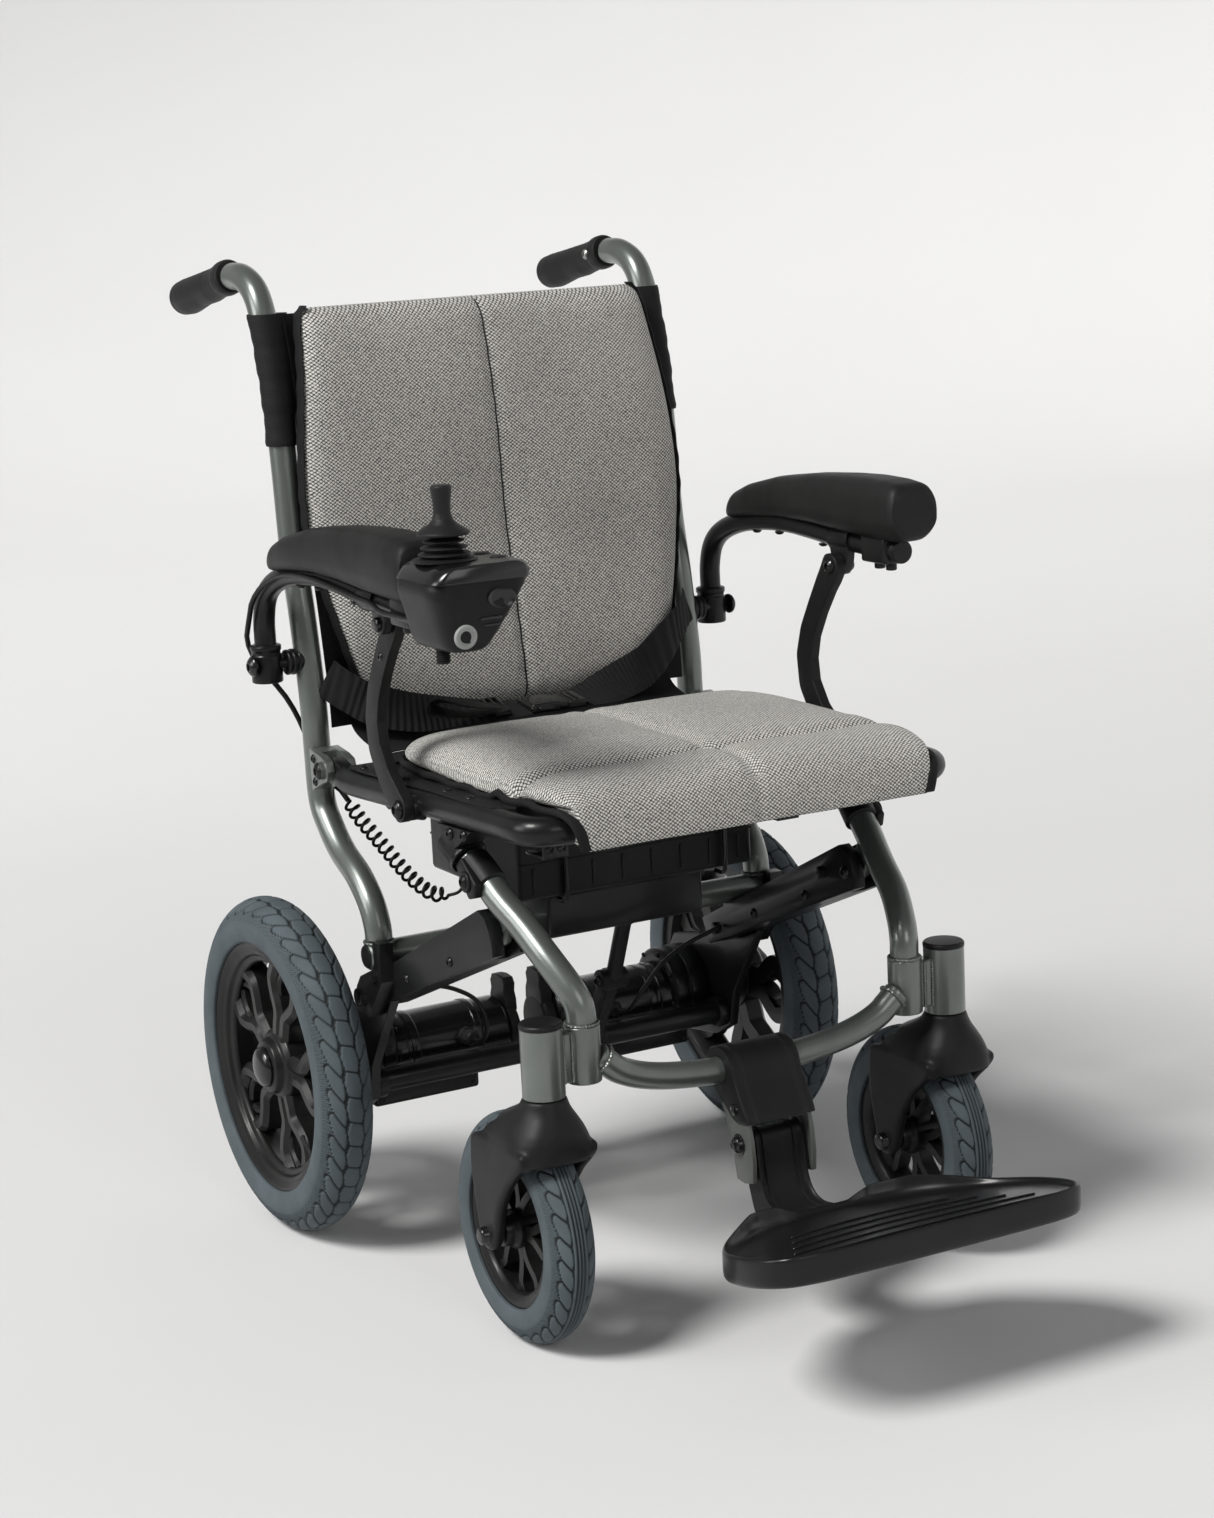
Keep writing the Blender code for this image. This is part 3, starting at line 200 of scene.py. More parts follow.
def tyre_material():
    mat, shader = new_material("tyre_rubber", (0.1, 0.125, 0.135), 0.72, specular=0.25)
    # The groove map paints the tread's grooves, hatching and wall lines near black: painted shade
    # in the recesses, over the rubber's own darker colour there.
    groove = add(mat, "ShaderNodeAttribute", attribute_name="groove").outputs["Fac"]
    broad = span(mat, noise(mat, 22.0, 5.0), 0.3, 0.75, 0.0, 0.35)
    # Darkest of the painted groove shade and the random darker wear blotches from the broad noise.
    groove_shade_and_wear = calc(mat, "MAXIMUM", groove, broad)
    two_tone(mat, shader, groove_shade_and_wear, (0.08, 0.099, 0.11), (0.009, 0.011, 0.012))
    wire(mat, span(mat, broad, 0.0, 0.35, 0.62, 0.8), shader.inputs["Roughness"])
    relief(mat, shader, noise(mat, 700.0, 3.0), 0.0001)
    return mat


PAINT = surface("frame_paint", (0.132, 0.147, 0.136), (0.172, 0.188, 0.175), (0.28, 0.36),
                metallic=0.6, coat=0.5, grain=1800.0, depth=0.00004)
BLACK = surface("black_coat", (0.0045, 0.0046, 0.005), (0.0085, 0.0086, 0.0092), (0.3, 0.4),
                grain=1100.0, depth=0.00005, coat=0.15, specular=0.22)
CAST = surface("cast_black", (0.006, 0.006, 0.0062), (0.0115, 0.0115, 0.0118), (0.4, 0.5),
               grain=700.0, depth=0.00012, specular=0.22)
PLASTIC = surface("moulded_black", (0.0065, 0.0066, 0.0068), (0.012, 0.0121, 0.0124),
                  (0.36, 0.48), grain=1300.0, depth=0.0001, specular=0.22)
SOFT_BLACK = surface("soft_rubber", (0.0085, 0.0085, 0.0085), (0.015, 0.015, 0.015),
                     (0.44, 0.56), grain=1000.0, depth=0.00012, specular=0.22)
GLOSS = surface("gloss_black", (0.0045, 0.0045, 0.0048), (0.008, 0.008, 0.0085), (0.18, 0.28),
                grain=500.0, depth=0.00002, coat=0.3, specular=0.35)
RIM = surface("rim_black", (0.006, 0.006, 0.006), (0.012, 0.0118, 0.0115), (0.32, 0.44),
              grain=600.0, depth=0.00008, coat=0.1, specular=0.22)
STEEL = surface("zinc_steel", (0.3, 0.3, 0.29), (0.46, 0.46, 0.45), (0.28, 0.4),
                metallic=1.0, grain=900.0, depth=0.00003)
DARK_BOLT = surface("black_bolt", (0.012, 0.012, 0.012), (0.035, 0.035, 0.035), (0.22, 0.32),
                    metallic=0.7, grain=900.0, depth=0.00003)
GREY_PLATE = surface("grey_plate", (0.1, 0.107, 0.1), (0.15, 0.158, 0.15), (0.36, 0.46),
                     metallic=0.4, grain=1200.0, depth=0.00005)
WELD = surface("weld_bead", (0.13, 0.14, 0.128), (0.22, 0.235, 0.218), (0.28, 0.4),
               metallic=0.8, grain=420.0, depth=0.0004)
CABLE = surface("cable_sheath", (0.005, 0.005, 0.005), (0.0095, 0.0095, 0.0095), (0.32, 0.42),
                grain=1500.0, depth=0.00004, specular=0.22)
PALE_RING = surface("pale_ring", (0.26, 0.27, 0.26), (0.36, 0.37, 0.36), (0.4, 0.5),
                    grain=900.0, depth=0.00004)
TYRE = tyre_material()
WEAVE = weave_material("seat_weave", (0.03, 0.03, 0.03), (0.76, 0.75, 0.7), 0.0042, 0.0033, 0.0005)
WEBBING = ribbed_material("nylon_webbing", (0.004, 0.004, 0.0042), 0.0016, 0.0002)
MESH_CLOTH = ribbed_material("nylon_sleeve", (0.005, 0.005, 0.0056), 0.0022, 0.0002)


# ------------------------------------------------------------------ shapes
# A shape is a pair: its points and its faces.
def joined(*shapes):
    points, faces = [], []
    for more, sides in shapes:
        start = len(points)
        points += [tuple(p) for p in more]
        faces += [tuple(i + start for i in side) for side in sides]
    return points, faces


def flipped(shape, sign):
    if sign > 0:
        return shape
    return [(-x, y, z) for x, y, z in shape[0]], [tuple(reversed(f)) for f in shape[1]]


def placed(shape, matrix):
    return [tuple(matrix @ Vector(p)) for p in shape[0]], shape[1]


def shifted(shape, offset):
    return placed(shape, Matrix.Translation(offset))


def frame_to(axis):
    """Rotation that takes +X to the axis, a letter or a vector."""
    if isinstance(axis, str):
        axis = {"X": (1, 0, 0), "Y": (0, 1, 0), "Z": (0, 0, 1)}[axis]
    return Vector((1, 0, 0)).rotation_difference(Vector(axis)).to_matrix().to_4x4()


def mm(table):
    """Rows of millimetres, in metres."""
    return [tuple(round(value / 1000, 7) for value in row) for row in table]


def circle(count):
    """The cosine and sine of count angles, once round."""
    angles = [2 * math.pi * k / count for k in range(count)]
    return [(math.cos(a), math.sin(a)) for a in angles]


def way_at(path, i):
    """The direction of a path at its point i."""
    return (path[min(i + 1, len(path) - 1)] - path[max(i - 1, 0)]).normalized()


def lathe(profile, centre, axis="X", segs=64):
    """Turns (along, radius) points about an axis through centre."""
    points, faces, rings = [], [], []
    for along, radius in profile:
        if radius < 1e-6:
            rings.append([len(points)])
            points.append((along, 0.0, 0.0))
            continue
        rings.append(list(range(len(points), len(points) + segs)))
        points += [(along, radius * c, radius * s) for c, s in circle(segs)]
    for a, b in zip(rings, rings[1:]):
        for k in range(segs):
            j = (k + 1) % segs
            if len(a) == 1 and len(b) == 1:
                continue
            if len(a) == 1:
                faces.append((a[0], b[k], b[j]))
            elif len(b) == 1:
                faces.append((a[k], b[0], a[j]))
            else:
                faces.append((a[k], b[k], b[j], a[j]))
    return placed((points, faces), Matrix.Translation(centre) @ frame_to(axis))


def rounded(profile, radius, steps):
    """Rounds the corners of a lathe profile."""
    done = [profile[0]]
    for before, here, after in zip(profile, profile[1:], profile[2:]):
        p, a, b = Vector(here), Vector(before), Vector(after)
        reach = min(radius, (a - p).length * 0.45, (b - p).length * 0.45)
        start = p + (a - p).normalized() * reach
        end = p + (b - p).normalized() * reach
        for i in range(steps + 1):
            t = i / steps
            done.append(tuple(start * (1 - t) ** 2 + p * 2 * t * (1 - t) + end * t * t))
    done.append(profile[-1])
    return done


def turned(profile, edge, steps, centre, axis="X", segs=64):
    """A lathe shape with rounded edges; its profile and edge are in millimetres."""
    return lathe(rounded(mm(profile), round(edge / 1000, 7), steps), centre, axis, segs)


def curved(points, step):
    """A Catmull-Rom curve through the points, resampled at about one step."""
    p = [Vector(q) for q in points]
    p = [p[0] * 2 - p[1]] + p + [p[-1] * 2 - p[-2]]
    dense = []
    for i in range(1, len(p) - 2):
        for k in range(16):
            t = k / 16
            a = p[i] * 2 + (p[i + 1] - p[i - 1]) * t
            b = (p[i - 1] * 2 - p[i] * 5 + p[i + 1] * 4 - p[i + 2]) * t * t
            c = (p[i] * 3 - p[i - 1] - p[i + 1] * 3 + p[i + 2]) * t ** 3
            dense.append((a + b + c) / 2)
    dense.append(p[-2])
    lengths = np.cumsum([0.0] + [(b - a).length for a, b in zip(dense, dense[1:])])
    count = max(2, round(lengths[-1] / step))
    wanted = np.linspace(0, lengths[-1], count + 1)
    columns = np.array([tuple(q) for q in dense]).T
    return [Vector([np.interp(w, lengths, column) for column in columns]) for w in wanted]


def pipe(points, radius, segs=24, ends=0.0015):
    """Round bar along points, with its end edges rounded; radius may be a function of 0..1."""
    path = [Vector(p) for p in points]
    size = radius if callable(radius) else (lambda t: radius)
    last_index = len(path) - 1
    stations = [(p, way_at(path, i), size(i / last_index)) for i, p in enumerate(path)]
    if ends:
        first, last = stations[0], stations[-1]
        stations[0] = (first[0] + first[1] * ends, first[1], first[2])
        stations[-1] = (last[0] - last[1] * ends, last[1], last[2])
        stations.insert(0, (first[0], first[1], first[2] - ends))
        stations.append((last[0], last[1], last[2] - ends))
    normal = stations[0][1].orthogonal().normalized()
    rings = []
    for centre, t, r in stations:
        normal = (normal - t * normal.dot(t)).normalized()
        side = t.cross(normal)
        rings.append([centre + (normal * c + side * s) * r for c, s in circle(segs)])
    return skin_rings(rings)


def skin_rings(rings):
    """Faces between rings of equal length, with a face over each end."""
    n = len(rings[0])
    points = [tuple(p) for ring in rings for p in ring]
    faces = []
    for i in range(len(rings) - 1):
        for k in range(n):
            j = (k + 1) % n
            faces.append((i * n + k, i * n + j, (i + 1) * n + j, (i + 1) * n + k))
    faces.append(tuple(reversed(range(n))))
    faces.append(tuple((len(rings) - 1) * n + k for k in range(n)))
    return points, faces


def bevelled(shape, width, segments=3, angle=30):
    mesh = bmesh.new()
    corners = [mesh.verts.new(p) for p in shape[0]]
    for side in shape[1]:
        if len(set(side)) > 2:
            mesh.faces.new([corners[i] for i in side])
    return finish_bevel(mesh, width, segments, angle)


def finish_bevel(mesh, width, segments, angle):
    bmesh.ops.recalc_face_normals(mesh, faces=mesh.faces)
    sharp = [
        e for e in mesh.edges
        if len(e.link_faces) == 2 and e.calc_face_angle(0.0) > math.radians(angle)
    ]
    bmesh.ops.bevel(
        mesh, geom=sharp, offset=width, segments=segments, profile=0.5, affect="EDGES",
        clamp_overlap=True,
    )
    mesh.verts.index_update()
    points = [tuple(v.co) for v in mesh.verts]
    faces = [tuple(v.index for v in f.verts) for f in mesh.faces]
    mesh.free()
    return points, faces


def slab(outline, axis, low, high, width=0.001, segments=3):
    """A flat plate with rounded edges; outline is in the two other axes, in order."""
    def point(pair, value):
        a, b = pair
        return {"X": (value, a, b), "Y": (a, value, b), "Z": (a, b, value)}[axis]

    return bevelled(
        skin_rings([[point(p, low) for p in outline], [point(p, high) for p in outline]]),
        width, segments,
    )


def brick(low, high, width=0.001, segments=3):
    outline = [(low[0], low[1]), (high[0], low[1]), (high[0], high[1]), (low[0], high[1])]
    return slab(outline, "Z", low[2], high[2], width, segments)


def refined(node, width=0.001, segments=2, angle=32):
    """The CAD node's shape with its edges rounded."""
    mesh = bmesh.new()
    mesh.from_mesh(NODES[node].data)
    bmesh.ops.remove_doubles(mesh, verts=mesh.verts, dist=2e-6)
    bmesh.ops.dissolve_limit(
        mesh, angle_limit=math.radians(1.0), verts=mesh.verts, edges=mesh.edges
    )
    return finish_bevel(mesh, width, segments, angle)


def fused(shapes, voxel, smoothing, cutters=()):
    """Overlapping closed shapes melted into one soft casting."""
    def temporary(shape):
        mesh = bpy.data.meshes.new("draft")
        mesh.from_pydata(shape[0], [], shape[1])
        work = bmesh.new()
        work.from_mesh(mesh)
        bmesh.ops.recalc_face_normals(work, faces=work.faces)
        work.to_mesh(mesh)
        work.free()
        draft = bpy.data.objects.new("draft", mesh)
        bpy.context.collection.objects.link(draft)
        return draft

    obj = temporary(joined(*shapes))
    drafts = [obj]
    remesh = obj.modifiers.new("remesh", "REMESH")
    remesh.mode = "VOXEL"
    remesh.voxel_size = voxel
    for cutter in cutters:
        drafts.append(temporary(cutter))
        cut = obj.modifiers.new("cut", "BOOLEAN")
        cut.operation = "DIFFERENCE"
        cut.object = drafts[-1]
    if cutters:
        again = obj.modifiers.new("again", "REMESH")
        again.mode = "VOXEL"
        again.voxel_size = voxel
    smooth = obj.modifiers.new("smooth", "SMOOTH")
    smooth.iterations = smoothing
    smooth.factor = 0.5
    bpy.context.view_layer.update()
    done = obj.evaluated_get(bpy.context.evaluated_depsgraph_get()).to_mesh()
    shape = [tuple(v.co) for v in done.vertices], [tuple(p.vertices) for p in done.polygons]
    for draft in drafts:
        bpy.data.objects.remove(draft)
    return shape


def make(name, shape, material, body, replaces=(), angle=35):
    """A visible piece that rides on a body given by its name; with any other body, such as a list
    of bodies and points, the piece is left where it is, on no body.
    """
    mesh = bpy.data.meshes.new(name)
    mesh.from_pydata([tuple(p) for p in shape[0]], [], shape[1])
    work = bmesh.new()
    work.from_mesh(mesh)
    bmesh.ops.remove_doubles(work, verts=work.verts, dist=1e-6)
    bmesh.ops.recalc_face_normals(work, faces=work.faces)
    work.to_mesh(mesh)
    work.free()
    mesh.shade_smooth()
    if angle:
        mesh.set_sharp_from_angle(angle=math.radians(angle))
    mesh.materials.append(material)
    obj = bpy.data.objects.new(name, mesh)
    bpy.context.collection.objects.link(obj)
    if isinstance(body, str):
        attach(obj, body)
    else:
        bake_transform(obj)
    if replaces:
        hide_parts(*replaces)
    return obj


def softened(name, node, edge, material, body, steps=3, angle=35):
    """A piece that is the CAD node's own shape with its edges rounded."""
    return make(name, refined(node, edge, steps), material, body, (node,), angle=angle)


def one_side(name, side, shape, material, body, replaced="", angle=35):
    """A piece of one side of the chair, from the shape of the left side's."""
    replaces = (replaced + "_" + side,) if replaced else ()
    shape = flipped(shape, SIDES[side])
    return make(name + "_" + side, shape, material, body, replaces, angle)


def bolt(centre, axis, radius, height=None):
    """Button-head socket bolt; the axis points out of the head."""
    h = height or radius * 0.62
    head = lathe(
        rounded([(0.0, 0.0), (0.0, radius), (h * 0.35, radius * 0.98), (h * 0.8, radius * 0.72),
                 (h, radius * 0.5), (h, radius * 0.42), (h * 0.45, radius * 0.4),
                 (h * 0.45, 0.0)], radius * 0.06, 2),
        (0, 0, 0), "X", 24,
    )
    return placed(head, Matrix.Translation(centre) @ frame_to(axis))


def weld(path, radius=0.0022):
    """A row of overlapping ripples along a path."""
    points = curved(path, 0.0009)
    return pipe(points, lambda t: radius * (0.86 + 0.14 * math.sin(t * len(points) * 2.2)), 8, 0.0)


def ring_path(centre, axis, radius, count=40):
    turn = frame_to(axis)
    angles = [math.radians(360.0 * i / count) for i in range(count + 1)]
    return [Vector(centre) + turn @ Vector((0, radius * math.cos(a), radius * math.sin(a)))
            for a in angles]


# ------------------------------------------------------------------ camera, light and floor
def build_stage():
    spot = Vector((-1.292, -2.3135, 0.989))
    yaw, pitch, roll = math.radians(-28.79), math.radians(11.52), math.radians(-2.74)
    back = Vector((
        math.sin(yaw) * math.cos(pitch), -math.cos(yaw) * math.cos(pitch), math.sin(pitch)
    ))
    right = Vector((math.cos(yaw), math.sin(yaw), 0.0))
    up = back.cross(right)
    x = right * math.cos(roll) + up * math.sin(roll)
    y = up * math.cos(roll) - right * math.sin(roll)
    lens = bpy.data.cameras.new("camera")
    lens.sensor_fit = "VERTICAL"
    lens.sensor_height = 24.0
    lens.lens = 48.2
    camera = bpy.data.objects.new("camera", lens)
    camera.matrix_world = Matrix((
        (x.x, y.x, back.x, spot.x), (x.y, y.y, back.y, spot.y), (x.z, y.z, back.z, spot.z),
        (0, 0, 0, 1),
    ))
    bpy.context.collection.objects.link(camera)
    bpy.context.scene.camera = camera

    profile = [(0.0, 0.0), (0.0, 1.0), (0.0, 3.0), (0.0, 6.0)]
    for i in range(1, 13):
        angle = math.pi / 2 * i / 12
        profile.append((3.0 - 3.0 * math.cos(angle), 6.0 + 3.0 * math.sin(angle)))
    profile.append((6.5, 9.0))
    points, faces = lathe(profile, (0, 0, -0.0005), "Z", 96)
    mesh = bpy.data.meshes.new("studio_floor")
    mesh.from_pydata(points, [], faces)
    mesh.shade_smooth()
    mat, shader = new_material("paper_floor", (0.66, 0.655, 0.65), 0.8, specular=0.1)
    two_tone(
        mat, shader, span(mat, noise(mat, 0.6, 2.0), 0.3, 0.7, 0.0, 1.0),
        (0.655, 0.655, 0.655), (0.675, 0.675, 0.678),
    )
    mesh.materials.append(mat)
    floor = bpy.data.objects.new("studio_floor", mesh)
    bpy.context.collection.objects.link(floor)

    world = bpy.data.worlds.new("studio_air")
    world.use_nodes = True
    world.node_tree.nodes["Background"].inputs["Color"].default_value = (0.97, 0.98, 1.0, 1.0)
    world.node_tree.nodes["Background"].inputs["Strength"].default_value = 0.16
    bpy.context.scene.world = world
    bpy.context.scene.view_settings.view_transform = "Standard"
    sun = bpy.data.lights.new("key_light", "SUN")
    sun.energy = 3.08
    sun.angle = math.radians(19)
    sun.color = (1.0, 0.99, 0.975)
    lamp = bpy.data.objects.new("key_light", sun)
    lamp.rotation_euler = Vector((0.82, 0.1, -1.0)).to_track_quat("-Z", "Y").to_euler()
    bpy.context.collection.objects.link(lamp)
    for name, place, aim, size, power in (
        ("front_light", (-0.4, -4.2, 2.4), (0.0, 0.0, 0.5), 1.8, 24.0),
        ("left_strip", (-3.2, 0.6, 1.7), (0.0, 0.0, 0.5), 1.4, 34.0),
        ("wall_light", (0.0, 3.0, 4.4), (0.0, 8.0, 2.2), 5.0, 70.0),
    ):
        light = bpy.data.lights.new(name, "AREA")
        light.energy = power
        light.size = size
        lamp = bpy.data.objects.new(name, light)
        lamp.location = place
        lamp.rotation_euler = (Vector(aim) - Vector(place)).to_track_quat("-Z", "Y").to_euler()
        bpy.context.collection.objects.link(lamp)


# ------------------------------------------------------------------ wheels
def tread(radius, half, bead, lugs, ribs, sweep_mm, steps):
    """A tyre turned about X: leaf-shaped lugs on both shoulders, a band of fine
    hatching beside them, smooth walls, and ribs or staggered pads at the crown."""
    cross = 84                          # steps across, from bead to bead
    pitch = 2 * math.pi * radius * 1000 / lugs
    theta = np.arange(steps) * 2 * math.pi / steps
    along = theta * radius * 1000
    points = np.zeros((cross + 1, steps, 3))
    # This map of the grooves is returned for the tyre's colour, where it paints shade into the
    # grooves.
    groove_shade_map = np.zeros((cross + 1, steps))
    # degrees from the crown: where the lugs start and end, and where the smooth wall begins
    first, last, border = 17.0, 57.0, 72.0
    reach = math.radians(last - first) * half * 1000
    for i in range(cross + 1):
        t = -1 + 2 * i / cross
        angle = math.radians(132) * (0.65 * t + 0.35 * t ** 3)
        phi = math.degrees(abs(angle))
        x = half * math.sin(angle)
        r = radius - half * 1.06 * (1 - math.cos(angle))
        lean = along + (0.0 if t > 0 else pitch * 0.5)
        u = (phi - first) / (last - first)
        c = (lean + sweep_mm * np.clip(u, 0.0, 1.6) ** 1.2) / pitch
        nose = (c - np.floor(c)) * 2 - 1
        groove = np.zeros(steps)
        if first <= phi < border:
            end = 1.0 - 0.3 * nose ** 2
            start = 0.14 * nose ** 2
            inside = (u < end) & (u > start)
            side = np.clip((1.5 + 0.5 * u - (1 - np.abs(nose)) * pitch / 2) / 0.7, 0, 1)
            rim = np.clip((1.15 - np.abs(u - end) * reach) / 0.6, 0, 1)
            foot = np.clip((1.15 - np.abs(u - start) * reach) / 0.6, 0, 1)
            hatch = np.abs(np.sin((lean + (u - 1) * reach) * math.pi / 2.9))
            hatch = np.where(u > end, np.clip((0.66 - hatch) * 2.4, 0, 0.85), 0.0)
            groove = np.maximum(np.where(inside, side, hatch), np.maximum(rim, foot))
            groove = np.where(u < start, 0.9, groove)
        elif phi < first and ribs:
            for rib in ribs:
                groove = np.maximum(groove, np.clip(1.3 - abs(abs(x) * 1000 - rib), 0, 0.9))
        elif phi < first:
            s = (along + pitch * 0.25 + 0.3 * x * 1000) / pitch
            pad = np.abs((s - np.floor(s)) * 2 - 1)
            groove = np.clip((1.1 - (1 - pad) * pitch / 2) / 0.7, 0, 1)
            groove = np.maximum(groove, np.where(phi / first > 1 - 0.35 * pad ** 2, 0.9, 0.0))
        elif border <= phi < 112:
            for line in (border + 1.5, 79.0, 100.0, 105.0):
                groove = np.maximum(groove, max(0.0, 0.5 - abs(phi - line) * 0.35))
        cut = (0.0016 if phi < border and i else 0.0004) * groove
        points[i, :, 0] = x - math.sin(angle) * cut
        out = np.maximum(r, bead) - math.cos(angle) * cut
        points[i, :, 1] = out * np.cos(theta)
        points[i, :, 2] = out * np.sin(theta)
        groove_shade_map[i] = groove
    faces = []
    for i in range(cross):
        for k in range(steps):
            j = (k + 1) % steps
            faces.append((i * steps + k, i * steps + j, (i + 1) * steps + j, (i + 1) * steps + k))
    # close the tyre on its bead
    for k in range(steps):
        j = (k + 1) % steps
        faces.append((cross * steps + k, cross * steps + j, j, k))
    return points.reshape(-1, 3), faces, groove_shade_map.reshape(-1)


def make_tyre(name, centre, sign, body, replaces, *recipe):
    points, faces, depth = tread(*recipe)
    points = points * np.array([sign, 1.0, 1.0]) + np.array(centre)
    mesh = bpy.data.meshes.new(name)
    mesh.from_pydata([tuple(p) for p in points], [], faces)
    # The groove map is stored on the mesh for the tyre material, which paints shade into the
    # grooves with it.
    attribute = mesh.attributes.new("groove", "FLOAT", "POINT")
    attribute.data.foreach_set("value", np.clip(depth, 0, 1).astype(np.float32))
    if sign < 0:
        mesh.flip_normals()
    mesh.shade_smooth()
    mesh.materials.append(TYRE)
    obj = bpy.data.objects.new(name, mesh)
    bpy.context.collection.objects.link(obj)
    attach(obj, body)
    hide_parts(replaces)
    return obj


def spoke_arm(points, width, back, front, bevel):
    """A curved flat bar in the wheel's plane (YZ), drawn by its middle line."""
    path = curved([(p[0], p[1], 0.0) for p in points], 0.003)
    left, right = [], []
    for i, p in enumerate(path):
        t = way_at(path, i)
        n = Vector((-t.y, t.x, 0.0))
        left.append(p + n * width / 2)
        right.append(p - n * width / 2)
    rings = []
    w = bevel
    for a, b in zip(left, right):
        ab = (b - a).normalized()
        rings.append([
            (back, a.x, a.y), (front - w, a.x, a.y), (front, a.x + ab.x * w, a.y + ab.y * w),
            (front, b.x - ab.x * w, b.y - ab.y * w), (front - w, b.x, b.y), (back, b.x, b.y),
        ])
    return skin_rings(rings)


def spoke_set(count, arms, width, back, front, bevel):
    shapes = []
    for i in range(count):
        turn = Matrix.Rotation(2 * math.pi * i / count + 0.3, 4, "X")
        for arm in arms:
            for side in (-1, 1):
                line = [(p[0] * side, p[1]) for p in arm]
                shapes.append(placed(spoke_arm(line, width, back, front, bevel), turn))
    return joined(*shapes)


def build_rear_wheels():
    for side, sign in SIDES.items():
        body = "rear_wheel_" + side
        centre = (sign * WHEEL_X, WHEEL_Y, WHEEL_Z)
        make_tyre("tyre_" + side, centre, sign, body, "rear_tyre_" + side,
                  WHEEL_R, 0.026, 0.1172, 42, (), 24.0, 1120)
        barrel = turned([
            (-19.5, 116.8), (-19.5, 119), (-17.5, 119), (-15, 116.2), (-10, 113.5), (10, 113.5),
            (15, 116.2), (18, 119.2), (20.5, 119), (20.8, 115), (17, 109), (15.5, 105),
            (12, 103.5), (10.5, 98.5), (7.5, 97), (3, 98.5), (-10, 102), (-19.5, 106),
            (-19.5, 116.8),
        ], 1, 2, (0, 0, 0), "X", 120)
        arms = [mm([(6, 24), (7.5, 40), (8.5, 54), (20, 68), (26.5, 80), (23.5, 93), (20, 101)])]
        inner = [mm([(3, 25), (4.2, 48), (12, 65), (15, 79), (10.5, 91), (4, 98)])]
        spokes = joined(
            spoke_set(5, arms, 0.016, -0.011, 0.01, 0.0045),
            spoke_set(5, inner, 0.0075, -0.009, 0.006, 0.0022),
        )
        hub = turned([
            (-38.5, 0), (-38.5, 27), (-35, 28.5), (-14.5, 28.5), (-13, 34), (7, 34), (11, 30),
            (12.5, 26.5), (19, 24.5), (20.5, 20), (20.5, 0),
        ], 1.2, 3, (0, 0, 0), "X", 64)
        cap = mm([(20, 0), (20, 19.5), (22.5, 19.5)])
        for i in range(9):
            angle = math.pi / 2 * i / 8
            cap.append((0.0225 + 0.0072 * math.sin(angle), 0.019 * math.cos(angle)))
        valve = placed(
            pipe(curved(mm([(4, 0, 99), (6, 0, 86), (7.5, 0, 74)]), 0.003), 0.0032, 12),
            Matrix.Rotation(2.45, 4, "X"),
        )
        for name, shape, material, kept in (
            ("rim_" + side, joined(barrel, spokes, hub), RIM, ("rear_rim_" + side,)),
            ("hub_cap_" + side, lathe(cap, (0, 0, 0), "X", 48), GLOSS, ()),
            ("valve_" + side, valve, SOFT_BLACK, ()),
        ):
            shape = shifted(flipped(shape, sign), centre)
            make(name, shape, material, body, kept)


def fork_shapes():
    """Hood and blades of the caster fork, drawn about its own middle plane."""
    rings = []
    for z, half, front, rear, power in (
        (0.224, 0.0188, -0.2113, -0.1737, 2.0), (0.2215, 0.0192, -0.2118, -0.173, 2.0),
        (0.217, 0.0206, -0.2132, -0.1695, 2.1), (0.212, 0.0236, -0.2158, -0.16, 2.2),
        (0.206, 0.028, -0.2192, -0.147, 2.4), (0.199, 0.0322, -0.2222, -0.136, 2.7),
        (0.192, 0.035, -0.2238, -0.129, 3.0), (0.184, 0.0364, -0.224, -0.1255, 3.4),
        (0.176, 0.0368, -0.2228, -0.124, 3.8), (0.17, 0.0362, -0.2195, -0.1245, 4.0),
    ):
        mid, reach = (front + rear) / 2, (rear - front) / 2
        rings.append([(half * math.copysign(abs(c) ** (2 / power), c),
                       mid + reach * math.copysign(abs(s) ** (2 / power), s), z)
                      for c, s in circle(64)])
    shapes = [skin_rings(rings)]
    blade = mm([
        (-215, 186), (-134, 186), (-121.5, 168), (-123, 135), (-129, 108), (-132.5, 95),
        (-139, 87.2), (-145.5, 85.5), (-153, 87.5), (-159, 95), (-164, 108), (-172, 130),
        (-188, 152), (-206, 168), (-216, 179),
    ])
    line = [tuple(p) for p in curved(blade + blade[:1], 0.004)[:-1]]
    for low, high in ((0.0264, 0.0366), (-0.0366, -0.0264)):
        shapes.append(slab(line, "X", low, high, 0.003, 3))
    for way in (-1, 1):
        shapes.append(lathe(mm([
            (26.8, 0), (26.8, 12.5), (35, 11.8), (37.2, 10), (37.2, 0),
        ]), (0.0, CASTER_Y, CASTER_Z), (way, 0, 0), 32))
    return shapes


